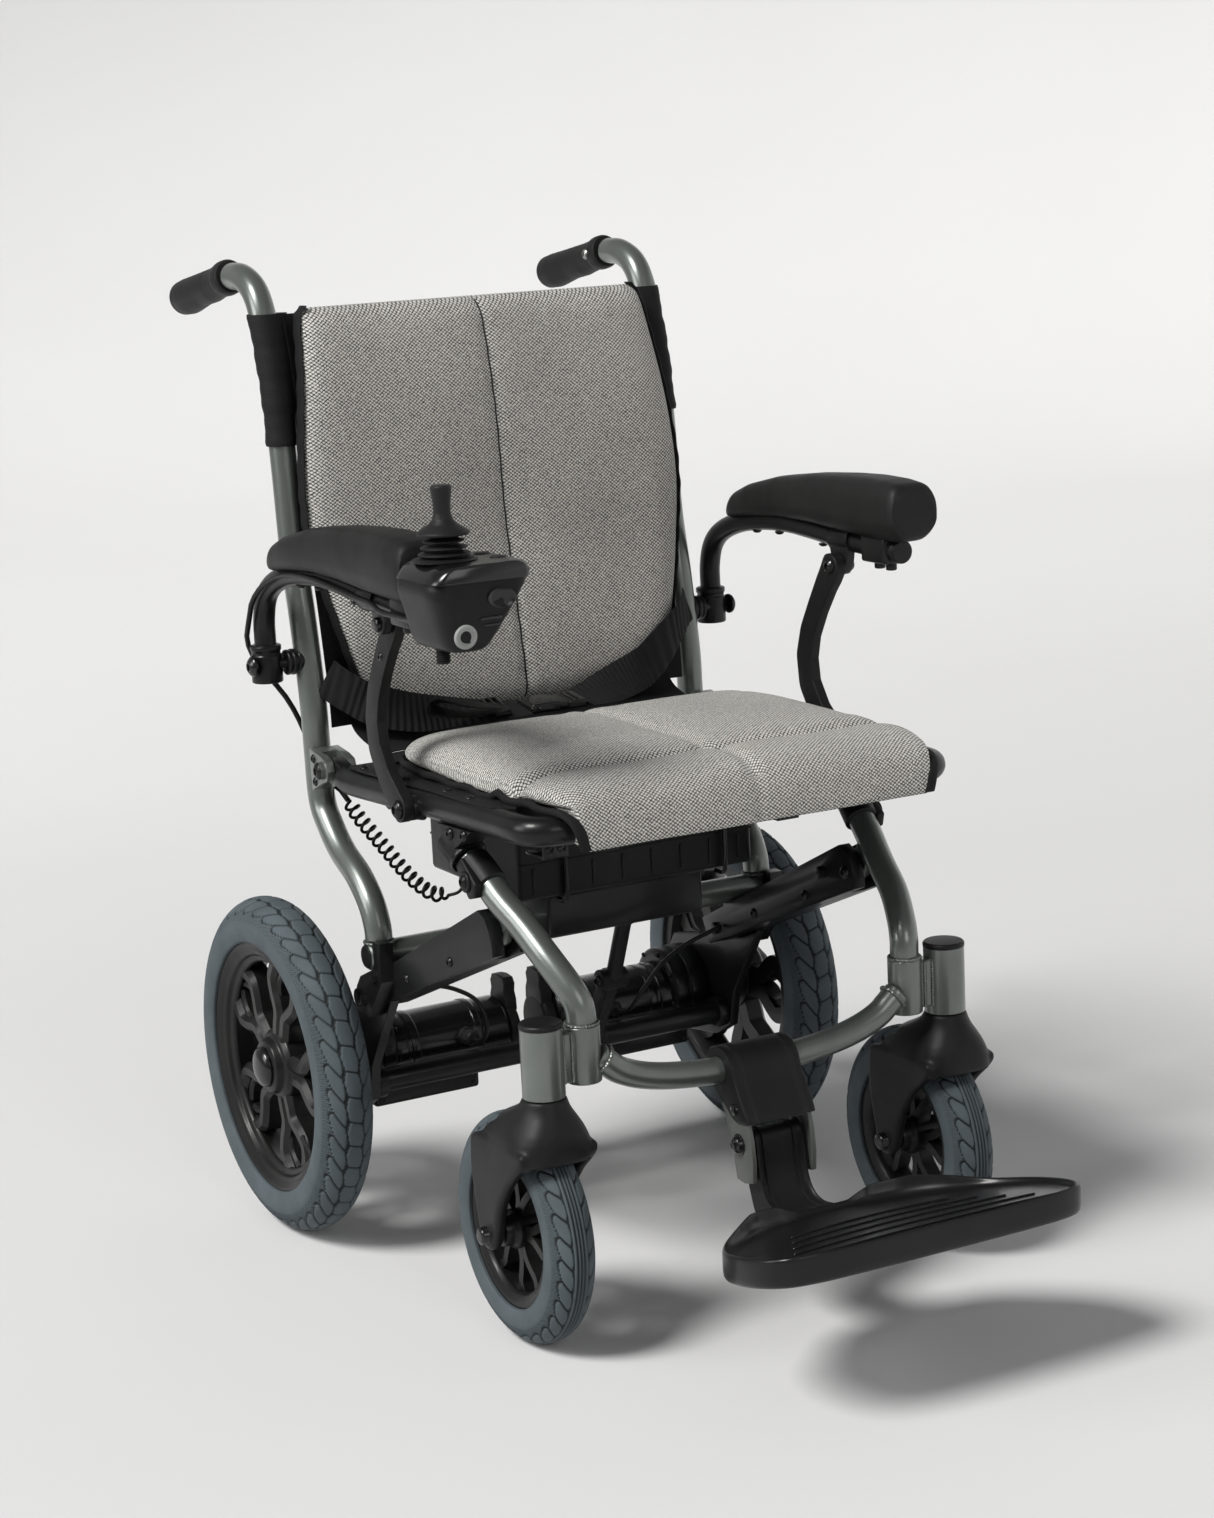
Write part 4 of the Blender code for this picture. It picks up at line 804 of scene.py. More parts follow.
def build_casters():
    for side, sign in SIDES.items():
        body = "caster_wheel_" + side
        centre = (sign * CASTER_X, CASTER_Y, CASTER_Z)
        make_tyre("caster_tread_" + side, centre, 1.0, body, "caster_tyre_" + side,
                  CASTER_R, 0.021, 0.0668, 30, (0.0, 3.2), 17.0, 780)
        barrel = turned([
            (-15, 66.2), (-16.5, 67), (-16.5, 63), (-13.5, 56), (-10, 54), (0, 56), (10, 54),
            (13.5, 56), (16.5, 63), (16.5, 67), (15, 66.2), (0, 64), (-15, 66.2),
        ], 0.8, 2, (0, 0, 0), "X", 96)
        arms = [mm([(3, 14), (4, 26), (9.5, 37), (14, 45), (13, 56)])]
        spokes = spoke_set(5, arms, 0.0072, -0.0075, 0.0075, 0.002)
        hub = turned([
            (-23.5, 0), (-23.5, 12.5), (-16, 13.5), (-12, 17), (12, 17), (16, 13.5), (23.5, 12.5),
            (23.5, 0),
        ], 1, 2, (0, 0, 0), "X", 40)
        make("caster_wheel_rim_" + side, shifted(joined(barrel, spokes, hub), centre), RIM, body,
             ("caster_rim_" + side,))
        stem = "caster_fork_" + side
        axle_gap = 0.0425
        fork = fused(fork_shapes(), 0.0016, 7, [lathe(
            mm([(-26.2, 0), (-26.2, 104), (26.2, 104), (26.2, 0)]),
            (0.0, CASTER_Y, CASTER_Z), "X", 96)])
        fork = shifted(fork, (sign * CASTER_X, 0.0, 0.0))
        make("fork_" + side, fork, CAST, stem, (stem,), angle=0)
        pin = pipe([(sign * CASTER_X, STEM_Y, 0.215), (sign * CASTER_X, STEM_Y, 0.274)],
                   0.0085, 24)
        make("fork_pin_" + side, pin, STEEL, stem)
        bolts = []
        for way in (-1, 1):
            x = sign * CASTER_X + way * 0.0352
            bolts.append(lathe(
                rounded([(0.0, 0.0), (0.0, 0.0105), (0.0016, 0.0105), (0.0016, 0.0078),
                         (0.007, 0.0074), (axle_gap - 0.0352 + 0.001, 0.005),
                         (axle_gap - 0.0352 + 0.001, 0.0)], 0.0006, 2),
                (x, CASTER_Y, CASTER_Z), (way, 0, 0), 24,
            ))
        make("fork_bolts_" + side, joined(*bolts), GLOSS, stem)


# ------------------------------------------------------------------ frames
BACK_PATH = mm([
    (349, 879), (325, 878), (301, 868), (286, 849), (275.5, 818), (264, 770), (256.5, 706),
    (250, 630), (238.5, 569), (227.5, 496), (225.5, 455), (222, 405), (206, 382), (182.5, 362),
    (150, 345), (127, 325), (116.5, 306), (114.5, 292.1),
])
BACK_LINE = curved(BACK_PATH, 0.004)
TUBE_TOP = 0.845                # where the back tube starts to bend to its handle


def tube_y(z):
    line = [p for p in BACK_LINE if 0.4 < p.y < 0.86]
    return float(np.interp(z, [p.y for p in reversed(line)], [p.x for p in reversed(line)]))


def build_back_frame():
    y, z = ARM_HINGE
    for side in SIDES:
        line = curved([(FRAME_X, a, b) for a, b in BACK_PATH], 0.004)
        tube = pipe(line, TUBE_R, 36)
        one_side("back_tube_paint", side, tube, PAINT, "back_frame", "back_tube")
        foot = ring_path((FRAME_X, LATCH[0] + 0.0002, LATCH[1] + 0.0122), "Z", 0.0128)
        one_side("back_weld", side, weld(foot, 0.0019), WELD, "back_frame")
        hinge = y - 0.007
        stub = turned([
            (0, 0), (0, 10.8), (1.2, 12), (5.2, 12), (5.8, 11), (7, 11), (7.6, 12), (10.4, 12),
            (11, 11), (12.2, 11), (12.8, 11.7), (15.2, 11.7), (16.2, 10.5), (16.2, 5), (33, 4.9),
            (33, 0),
        ], 0.4, 2, (0.206, hinge, z), "X", 40)
        one_side("arm_stub", side, stub, BLACK, "back_frame")
        knob = turned([
            (0, 0), (0, 9.5), (2.4, 9.5), (4.4, 7.6), (6.3, 4.8), (6.3, 3.4), (3.4, 3.2), (3.4, 0),
        ], 0.5, 2, (0.2522, hinge, z), "X", 32)
        one_side("arm_knob", side, knob, GLOSS, "back_frame")
        axis = mm([(353, 878.8), (370, 875.7), (405, 869.2), (440, 862.6), (479, 855.5)])
        path = curved(axis, 0.0022)
        rings = []
        count = len(path)
        for i, p in enumerate(path):
            t = i / (count - 1)
            tangent = way_at(path, i)
            up = Vector((-tangent.y, tangent.x))
            if up.y < 0:
                up = -up
            base = np.interp(t, [0, 0.03, 0.1, 0.13, 0.3, 0.6, 0.85, 0.96, 1.0],
                             [0.015, 0.0166, 0.0168, 0.015, 0.0146, 0.0156, 0.0166, 0.016, 0.011])
            swell = np.interp(t, [0, 0.13, 0.35, 0.55, 0.8, 1.0], [0, 0, 0.0022, 0.0006, 0.002, 0])
            ring = []
            for c, s in circle(40):
                r = base + swell * max(0.0, -s)
                r -= 0.0004 * (0.5 + 0.5 * math.sin(t * 150)) if 0.2 < t < 0.9 else 0.0
                w = p + up * (r * s)
                ring.append((FRAME_X + r * c * 0.97, w.x, w.y))
            rings.append(ring)
        grip = skin_rings(rings)
        one_side("grip", side, grip, SOFT_BLACK, "back_frame", "push_grip", angle=50)
        screw = bolt((FRAME_X - 0.015, 0.368, 0.8762), (-1, 0, 0), 0.0052)
        one_side("grip_screw", side, screw, STEEL, "back_frame")
        # the nylon sleeve that ties the upholstery to the tube
        rings = []
        for i in range(37):
            zz = 0.846 - 0.118 * i / 36
            yc = tube_y(min(zz, TUBE_TOP))
            reach = np.interp(zz, [0.728, 0.75, 0.846], [0.015, 0.016, 0.024])
            puff = 0.0004 * math.sin(zz * 190) + 0.0003 * math.sin(zz * 420 + 1.0)
            lip = 0.0008 if i in (0, 1, 35, 36) else 0.0
            r = 0.0141 + puff + lip
            ring = []
            for c, s in circle(40):
                x = -reach * abs(c) ** 0.8 if c < 0 else r * c
                narrow = 1.0 if c > 0 else 1.0 - 0.45 * c ** 2
                ring.append((FRAME_X + x, yc + r * s * narrow, zz))
            rings.append(ring)
        sleeve = skin_rings(rings)
        obj = one_side("tube_sleeve", side, sleeve, MESH_CLOTH, "back_frame", angle=60)
        flat_map(obj, "XZ")
        stitches = []
        for i in range(36):
            zz = 0.842 - 0.112 * i / 35
            stitches.append(pipe([
                (FRAME_X - 0.0148, tube_y(zz) - 0.0108, zz),
                (FRAME_X - 0.0148, tube_y(zz - 0.0025) - 0.0108, zz - 0.0025),
            ], 0.00045, 6, 0.0001))
        one_side("sleeve_stitches", side, joined(*stitches), SOFT_BLACK, "back_frame")
    y, z = LATCH
    bar = pipe(curved([(-0.213, y, z), (0.0, y, z), (0.213, y, z)], 0.01), TUBE_R, 36)
    make("rear_cross_paint", bar, PAINT, "back_frame", ("rear_cross_tube",))
    caps = [turned([
        (0, 0), (0, 10.8), (2.2, 10.2), (2.2, 0),
    ], 0.6, 2, (s * 0.2122, y, z), (s, 0, 0), 28) for s in (-1, 1)]
    make("rear_cross_caps", joined(*caps), PLASTIC, "back_frame")


def flat_map(obj, plane):
    """Writes the piece's weave map from two of its coordinates, in metres."""
    pick = ["XYZ".index(c) for c in plane]
    layer = obj.data.uv_layers.new(name="weave")
    for loop in obj.data.loops:
        p = obj.data.vertices[loop.vertex_index].co
        layer.data[loop.index].uv = (p[pick[0]], p[pick[1]])


# ------------------------------------------------------------------ cushions
BACK_ROWS = mm([
    (472, 140), (478, 151), (490, 158), (530, 170), (600, 187), (660, 196.5), (720, 194),
    (790, 185), (838, 179), (846, 176), (850, 170),
])


def cloth_map(points, faces, uvs, name, materials, picks):
    mesh = bpy.data.meshes.new(name)
    mesh.from_pydata(points, [], faces)
    layer = mesh.uv_layers.new(name="weave")
    for loop in mesh.loops:
        layer.data[loop.index].uv = uvs[loop.vertex_index]
    for material in materials:
        mesh.materials.append(material)
    for face, pick in zip(mesh.polygons, picks):
        face.material_index = pick
        face.use_smooth = True
    obj = bpy.data.objects.new(name, mesh)
    bpy.context.collection.objects.link(obj)
    return obj


def inflate(obj, held, cap, pressure=4.0):
    """Swells the pad with a cloth simulation; held points stay, and no point moves past cap."""
    mesh = obj.data
    before = np.empty(len(mesh.vertices) * 3)
    mesh.vertices.foreach_get("co", before)
    group = obj.vertex_groups.new(name="held")
    for index, weight in held:
        group.add([index], weight, "REPLACE")
    cloth = obj.modifiers.new("puff", "CLOTH")
    settings = cloth.settings
    settings.quality = 5
    settings.mass = 0.25
    settings.tension_stiffness = settings.compression_stiffness = 30
    settings.shear_stiffness = 12
    settings.bending_stiffness = 0.6
    settings.use_pressure = True
    settings.uniform_pressure_force = pressure
    settings.vertex_group_mass = "held"
    settings.effector_weights.gravity = 0.0
    cloth.collision_settings.use_collision = False
    cloth.point_cache.frame_start = 1
    cloth.point_cache.frame_end = 20
    scene = bpy.context.scene
    for step in range(1, 21):
        scene.frame_set(step)
    done = obj.evaluated_get(bpy.context.evaluated_depsgraph_get()).to_mesh()
    after = np.empty(len(mesh.vertices) * 3)
    done.vertices.foreach_get("co", after)
    obj.modifiers.remove(cloth)
    before, after = before.reshape(-1, 3), after.reshape(-1, 3)
    move = after - before
    size = np.linalg.norm(move, axis=1, keepdims=True)
    move *= np.minimum(1.0, cap / np.maximum(size, 1e-9))
    move[~np.isfinite(move).all(axis=1)] = 0.0
    mesh.vertices.foreach_set("co", (before + move).reshape(-1))
    mesh.update()
    scene.frame_set(1)


PAD_LOW, PAD_HIGH = 0.472, 0.85
PAD_REAR = 0.017               # the pad's flat side stands this far before the tubes
PAD_EDGE = curved(BACK_ROWS, 0.003)


def pad_half(z):
    return float(np.interp(z, [p.x for p in PAD_EDGE], [p.y for p in PAD_EDGE]))


def back_shape(u, z):
    """A point's share of the pad's depth at a place across (u, -1 to 1) and a height."""
    v = (z - PAD_LOW) / (PAD_HIGH - PAD_LOW)
    return (1 - abs(u) ** 14) ** 0.42 * (1 - abs(2 * v - 1) ** 26) ** 0.42


def pad_depth(x, z, share):
    """The pad's crown, less its middle seam with its puckers, and soft waves."""
    depth = 0.012 + 0.015 * share - 0.012 * (1 - share)
    depth -= 0.0042 * math.exp(-(x / 0.0036) ** 2)
    depth -= 0.0006 * math.exp(-(x / 0.014) ** 2) * (1 + math.sin(z * 240))
    depth += 0.0011 * math.sin(x * 31 + z * 17) * math.sin(z * 38 + 1.0) * share
    return max(depth, 0.0045)


def sling_y(x, z):
    """The front of the sling, which sags a little between the tubes."""
    return tube_y(z) - 0.0065 + 0.0035 * (1 - (x / 0.187) ** 2)


def build_back_cushion():
    across, tall = 92, 92
    zs = [PAD_LOW + (PAD_HIGH - PAD_LOW) * (0.5 - 0.5 * math.cos(math.pi * (j / tall))) ** 0.92
          for j in range(tall + 1)]
    zs[-1] = PAD_HIGH
    points, uvs, faces, picks, held = [], [], [], [], []
    for front in (True, False):
        for j, z in enumerate(zs):
            half = pad_half(z)
            rear = tube_y(min(z, TUBE_TOP)) - PAD_REAR
            for i in range(across + 1):
                s = -1 + 2 * i / across
                u = math.sin(s * math.pi / 2) * 0.45 + s * 0.55
                x = u * half
                e = back_shape(u, z)
                if front:
                    points.append((x, rear - pad_depth(x, z, e), z))
                else:
                    points.append((x, rear - 0.0006 - 0.002 * (1 - e), z))
                uvs.append((x, z))
                border = i in (0, across) or j in (0, tall)
                fixed = border or not front or abs(x) < 0.003
                held.append((len(points) - 1, 1.0 if fixed else 0.1))
    row = across + 1
    size = row * (tall + 1)
    for j in range(tall):
        for i in range(across):
            a = j * row + i
            faces.append((a, a + 1, a + row + 1, a + row))
            picks.append(0)
            b = size + a
            faces.append((b, b + row, b + row + 1, b + 1))
            picks.append(1)
    for j in range(tall):
        for i in (0, across):
            a = j * row + i
            quad = (a, a + row, size + a + row, size + a)
            faces.append(quad if i == 0 else tuple(reversed(quad)))
            picks.append(1)
    for i in range(across):
        for j in (0, tall):
            a = j * row + i
            quad = (a, size + a, size + a + 1, a + 1)
            faces.append(quad if j == 0 else tuple(reversed(quad)))
            picks.append(0)
    pad = cloth_map(points, faces, uvs, "back_pad", (WEAVE, MESH_CLOTH), picks)
    inflate(pad, held, 0.004, 3.0)
    subdivide = pad.modifiers.new("smooth", "SUBSURF")
    subdivide.levels = subdivide.render_levels = 1
    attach(pad, "back_frame")
    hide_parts("back_cushion")
    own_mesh(pad)
    seam = []
    for j in range(60):
        z = 0.476 + (0.847 - 0.476) * j / 59
        rear = tube_y(min(z, TUBE_TOP)) - PAD_REAR
        seam.append((0.0, rear - pad_depth(0.0, z, back_shape(0.0, z)) - 0.0011, z))
    make("back_seam", pipe(seam, 0.0009, 8), SOFT_BLACK, "back_frame")
    # the binding tape down both sides, behind the pad's edge
    for side in SIDES:
        rings = []
        for j in range(110):
            z = 0.474 + (0.852 - 0.474) * j / 109
            x = min(pad_half(z), 0.1965) - 0.0006 + 0.0005 * math.sin(z * 260)
            yc = tube_y(min(z, TUBE_TOP)) - 0.0245
            rings.append([(x + 0.0022 * c, yc + 0.0072 * s, z) for c, s in circle(16)])
        tape = one_side("back_binding", side, skin_rings(rings), WEBBING, "back_frame",
                        angle=60)
        flat_map(tape, "YZ")
    # the taut sling behind the pad, with a line of stitches near each of its edges
    thick = 0.0016
    rings = []
    for j in range(64):
        z = 0.47 + (TUBE_TOP - 0.47) * j / 63
        xs = [-0.187 + 0.374 * i / 40 for i in range(41)]
        front = [(x, sling_y(x, z) - 0.002 * abs(x / 0.187) ** 8, z) for x in xs]
        rings.append(front + [(x, y + thick, z) for x, y, z in reversed(front)])
    sling = make("back_sling_cloth", skin_rings(rings), MESH_CLOTH, "back_frame",
                 ("back_sling",), angle=50)
    flat_map(sling, "XZ")
    ends = []
    heights = np.linspace(0.478, 0.838, 90)
    for x in (-0.178, 0.178):
        ends += [(x, z0, x, z0 + (z1 - z0) * 0.6) for z0, z1 in zip(heights, heights[1:])]
    for z in (0.478, 0.838):
        ends += [(x, z, x + 0.0025, z) for x in np.arange(-0.176, 0.174, 0.004)]
    dashes = []
    for x0, z0, x1, z1 in ends:
        y = sling_y(x0, z0) + thick + 0.0004
        dashes.append(pipe([(x0, y, z0), (x1, y, z1)], 0.0004, 6, 0.0001))
    thread = make("sling_stitches", joined(*dashes), SOFT_BLACK, "back_frame")


SEAT_TOP = mm([
    (107.5, 454.5), (108, 460), (104, 469), (96, 476), (80, 481.2), (50, 484.2), (10, 485.5),
    (-40, 485.8), (-90, 485.5), (-120, 484.6), (-134, 482.2), (-142, 480.6), (-150, 481.8),
    (-165, 484.2), (-182, 484), (-200, 480), (-213, 472), (-220, 462), (-223.6, 450),
    (-225.6, 438), (-226.2, 430),
])
SEAT_UNDER = mm([
    (-223.6, 429.6), (-222.2, 440), (-219.8, 450), (-216.5, 456.5), (-208, 459), (-150, 459),
    (-100, 457.5), (0, 453.5), (70, 452.7), (100, 452.7),
])


def seat_half(y, z):
    base = float(np.interp(
        -y, [-0.108, -0.1, -0.08, -0.02, 0.15, 0.18, 0.206, 0.22],
        [0.163, 0.172, 0.181, 0.186, 0.186, 0.184, 0.179, 0.172],
    ))
    if y < -0.205 and z < 0.46:
        base = 0.172 - (0.46 - z) * 0.2
    return base


def rail_rise(y):
    """How far the seat rail, which slopes, stands above its middle."""
    return np.interp(y, [-0.15, 0.0105, 0.15], [0.005, 0.0008, -0.0055])


def build_seat_cushion():
    top = curved(SEAT_TOP, 0.0042)
    under = curved(SEAT_UNDER, 0.011)
    loop = [(p, True) for p in top] + [(p, False) for p in under]
    lengths = np.cumsum([0.0] + [(b - a).length for a, b in zip(top, top[1:])])
    across = 96
    points, uvs, faces, picks, held = [], [], [], [], []
    for i in range(across + 1):
        s = -1 + 2 * i / across
        u = math.sin(s * math.pi / 2) * 0.5 + s * 0.5
        c = max(0.0, 1 - abs(u) ** 12) ** 0.45
        for k, (p, upper) in enumerate(loop):
            y, z = p.x, p.y
            x = u * seat_half(y, z)
            low = 0.4527 if y > -0.11 else 0.459
            drape = y < -0.21 and z < 0.468
            if upper and not drape:
                z = low + 0.0045 + (z - low - 0.0045) * c
                z -= 0.0062 * math.exp(-(x / 0.005) ** 2) * (1.0 if y < 0.1 else 0.4)
                z -= 0.0085 * math.exp(-((y + 0.142) / 0.0075) ** 2)
                z += 0.001 * math.sin(x * 33 + 1) * math.sin(y * 29 + 0.6) * c
            elif upper:
                y += 0.0022 * math.exp(-(x / 0.0045) ** 2) + 0.001 * math.sin(x * 52 + z * 60)
            points.append((x, y, z))
            uvs.append((x, lengths[k] if upper else -y))
            seam = abs(x) < 0.0032 or (upper and abs(p.x + 0.142) < 0.003)
            fixed = i in (0, across) or not upper or drape or seam
            held.append((len(points) - 1, 1.0 if fixed else 0.08))
    n = len(loop)
    for i in range(across):
        for k in range(n):
            m = (k + 1) % n
            faces.append((i * n + k, i * n + m, (i + 1) * n + m, (i + 1) * n + k))
            picks.append(0 if loop[k][1] and loop[m][1] else 1)
    faces.append(tuple(reversed(range(n))))
    faces.append(tuple(across * n + k for k in range(n)))
    picks += [1, 1]
    pad = cloth_map(points, faces, uvs, "seat_pad", (WEAVE, MESH_CLOTH), picks)
    inflate(pad, held, 0.006, 4.0)
    subdivide = pad.modifiers.new("smooth", "SUBSURF")
    subdivide.levels = subdivide.render_levels = 1
    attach(pad, "seat_frame")
    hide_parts("seat_cushion")
    # the binding that runs in waves along each side and down the front flap
    for side, sign in SIDES.items():
        route = [(0.164, 0.108, 0.456)]
        for y in np.arange(0.1, -0.206, -0.01):
            route.append((seat_half(y, 0.47) + 0.001 + 0.0012 * math.sin(y * 130), y,
                          (0.457 if y > -0.1 else 0.4612) + 0.0012 * math.sin(y * 110 + 1)))
        route += mm([
            (179, -210, 460), (175.2, -219, 456), (171.5, -223.6, 448), (169, -224.8, 439),
            (166.5, -225.2, 431.2),
        ])
        line = curved(route, 0.003)
        rings = []
        for i, p in enumerate(line):
            t = way_at(line, i)
            flap = min(1.0, max(0.0, (-0.205 - p.y) / 0.015))
            out = Vector((1, 0, 0))
            up = out.cross(t).normalized()
            if up.length < 0.5:
                up = Vector((0, 0, 1))
            wide = 0.0028 + 0.0026 * flap
            thick = 0.0036 - 0.0012 * flap
            rings.append([p + out * wide * c + up * thick * s for c, s in circle(14)])
        tape = one_side("seat_binding", side, skin_rings(rings), WEBBING, "seat_frame",
                        angle=60)
        flat_map(tape, "YX")
        # the strip that holds the upholstery to the rail, with its screws
        strip = slab(mm([
            (145, 150), (203, 150), (206, 120), (206.5, 60), (206, -20), (206.5, -90), (204, -135),
            (190, -150), (170, -140), (150, 20),
        ]), "Z", 0.45, 0.4527, 0.0008, 2)
        shape = flipped(strip, sign)
        tilt = [(x, y, z + rail_rise(y)) for x, y, z in shape[0]]
        strip = make("seat_strip_" + side, (tilt, shape[1]), WEBBING, "seat_frame")
        flat_map(strip, "XY")
        screws = [bolt((0.199, y, 0.4527 + rail_rise(y) - 0.0004), "Z", 0.0042, 0.0024)
                  for y in (0.125, 0.085, 0.04, -0.04, -0.085)]
        one_side("seat_strip_screws", side, joined(*screws), DARK_BOLT, "seat_frame")
    flap = []
    for i in range(25):
        x = -0.18 + 0.36 * i / 24
        droop = 0.0012 * math.sin(x * 45)
        flap.append([(x, 0.1, 0.4528), (x, 0.125, 0.453 + droop), (x, 0.1445, 0.4538 + droop),
                     (x, 0.145, 0.4552 + droop), (x, 0.125, 0.455 + droop),
                     (x, 0.1, 0.4552)])
    cloth = make("seat_rear_flap", skin_rings(flap), MESH_CLOTH, "seat_frame", angle=40)
    flat_map(cloth, "XY")


# ------------------------------------------------------------------ seat frame
LEG_PATH = mm([
    (192, -63.5, 400), (189, -77.5, 390), (185, -102.5, 370), (178, -130.5, 350),
    (173, -157.5, 330), (166, -178, 310), (161.8, -187.5, 296), (160.5, -189.5, 285),
    (160.5, -189.5, 278.6),
])


def build_seat_frame():
    foot_y, foot_z = LINK_FOOT
    hy, hz = BACK_HINGE
    fy, fz = FOLD
    rail = mm([
        (200, 164, 434.5), (200, 147.5, 432), (200, 80, 435), (200, 10.5, 438.5),
        (200, -60, 441.3), (200, -130.5, 444), (200, -172, 445), (195, -188, 445),
        (182, -197, 445), (160, -199.5, 445), (130, -199.5, 445),
    ])
    for side in SIDES:
        tongue = slab(
            [(0.156, hz - 0.01), (hy - 0.004, hz - 0.0105), (hy + 0.004, hz - 0.0098),
             (hy + 0.009, hz - 0.006), (hy + 0.011, hz), (hy + 0.009, hz + 0.006),
             (hy + 0.004, hz + 0.0098), (hy - 0.004, hz + 0.0105), (0.156, hz + 0.004)],
            "X", 0.1934, 0.2066, 0.0012,
        )
        tube = joined(pipe(curved(rail, 0.004), TUBE_R, 36), tongue)
        one_side("seat_rail", side, tube, BLACK, "seat_frame", "seat_tube")
        boss = turned([
            (0, 0), (0, 12.5), (3.5, 11.8), (6, 11), (12.1, 11), (12.1, 0),
        ], 0.6, 2, (0.204, foot_y, foot_z), "X", 36)
        head = joined(
            pipe([(0.214, foot_y, foot_z), (0.227, foot_y, foot_z)], 0.0045, 16),
            bolt((0.2265, foot_y, foot_z), "X", 0.0085, 0.005),
        )
        one_side("link_boss", side, boss, BLACK, "seat_frame")
        one_side("link_bolt", side, head, DARK_BOLT, "seat_frame")
        leg = pipe(curved(LEG_PATH, 0.004), TUBE_R, 36)
        lug = slab(
            [(-0.12, 0.362), (-0.104, 0.372), (fy + 0.004, fz + 0.0105),
             (fy + 0.0093, fz + 0.006), (fy + 0.0105, fz), (fy + 0.0085, fz - 0.007),
             (fy - 0.001, fz - 0.011), (fy - 0.009, fz - 0.006)],
            "X", 0.1762, 0.1862, 0.0012,
        )
        one_side("leg_paint", side, joined(leg, lug), PAINT, "seat_frame",
                 "leg_tube")
        outer = turned([
            (0, 10), (0, 18), (60, 18), (60.5, 18), (60.5, 10), (0, 10),
        ], 1, 3, (CASTER_X, STEM_Y, 0.2246), "Z", 48)
        socket = turned([
            (0, 0), (0, 15), (48.6, 15), (48.6, 0),
        ], 1.6, 3, (0.1605, -0.1895, 0.2295), "Z", 40)
        web = brick((0.165, -0.1985, 0.233), (0.195, -0.1845, 0.275), 0.0015)
        one_side("stem_paint", side, joined(outer, socket, web), PAINT, "seat_frame",
                 "stem_tube")
        cap = turned([
            (59, 0), (59, 18.2), (62.2, 18.4), (64, 17), (64.6, 0),
        ], 0.8, 3, (CASTER_X, STEM_Y, 0.224), "Z", 48)
        one_side("stem_cap", side, cap, PLASTIC, "seat_frame")
        beads = joined(
            weld(ring_path((0.1605, -0.1895, 0.279), "Z", 0.0132), 0.002),
            *(weld([(x, y, 0.2335), (x, y, 0.2745)], 0.002)
              for x, y in ((0.1832, -0.1985), (0.1752, -0.1985), (0.1832, -0.1845))),
        )
        one_side("stem_welds", side, beads, WELD, "seat_frame")
    half = mm([
        (0, 215), (22, 215), (44, 215.2), (80, 219), (108, 225), (129, 233.5), (140, 242),
        (150, 250),
    ])
    path = [(-x, STEM_Y, z) for x, z in half[:0:-1]] + [(x, STEM_Y, z) for x, z in half]
    make("front_cross_paint", pipe(curved(path, 0.004), 0.0115, 36), PAINT, "seat_frame",
         ("front_cross_tube",))
    beads = [weld(ring_path((s * 0.145, STEM_Y, 0.2462), (s * 0.79, 0, 0.61), 0.0122), 0.0018)
             for s in (-1, 1)]
    make("cross_tube_welds", joined(*beads), WELD, "seat_frame")


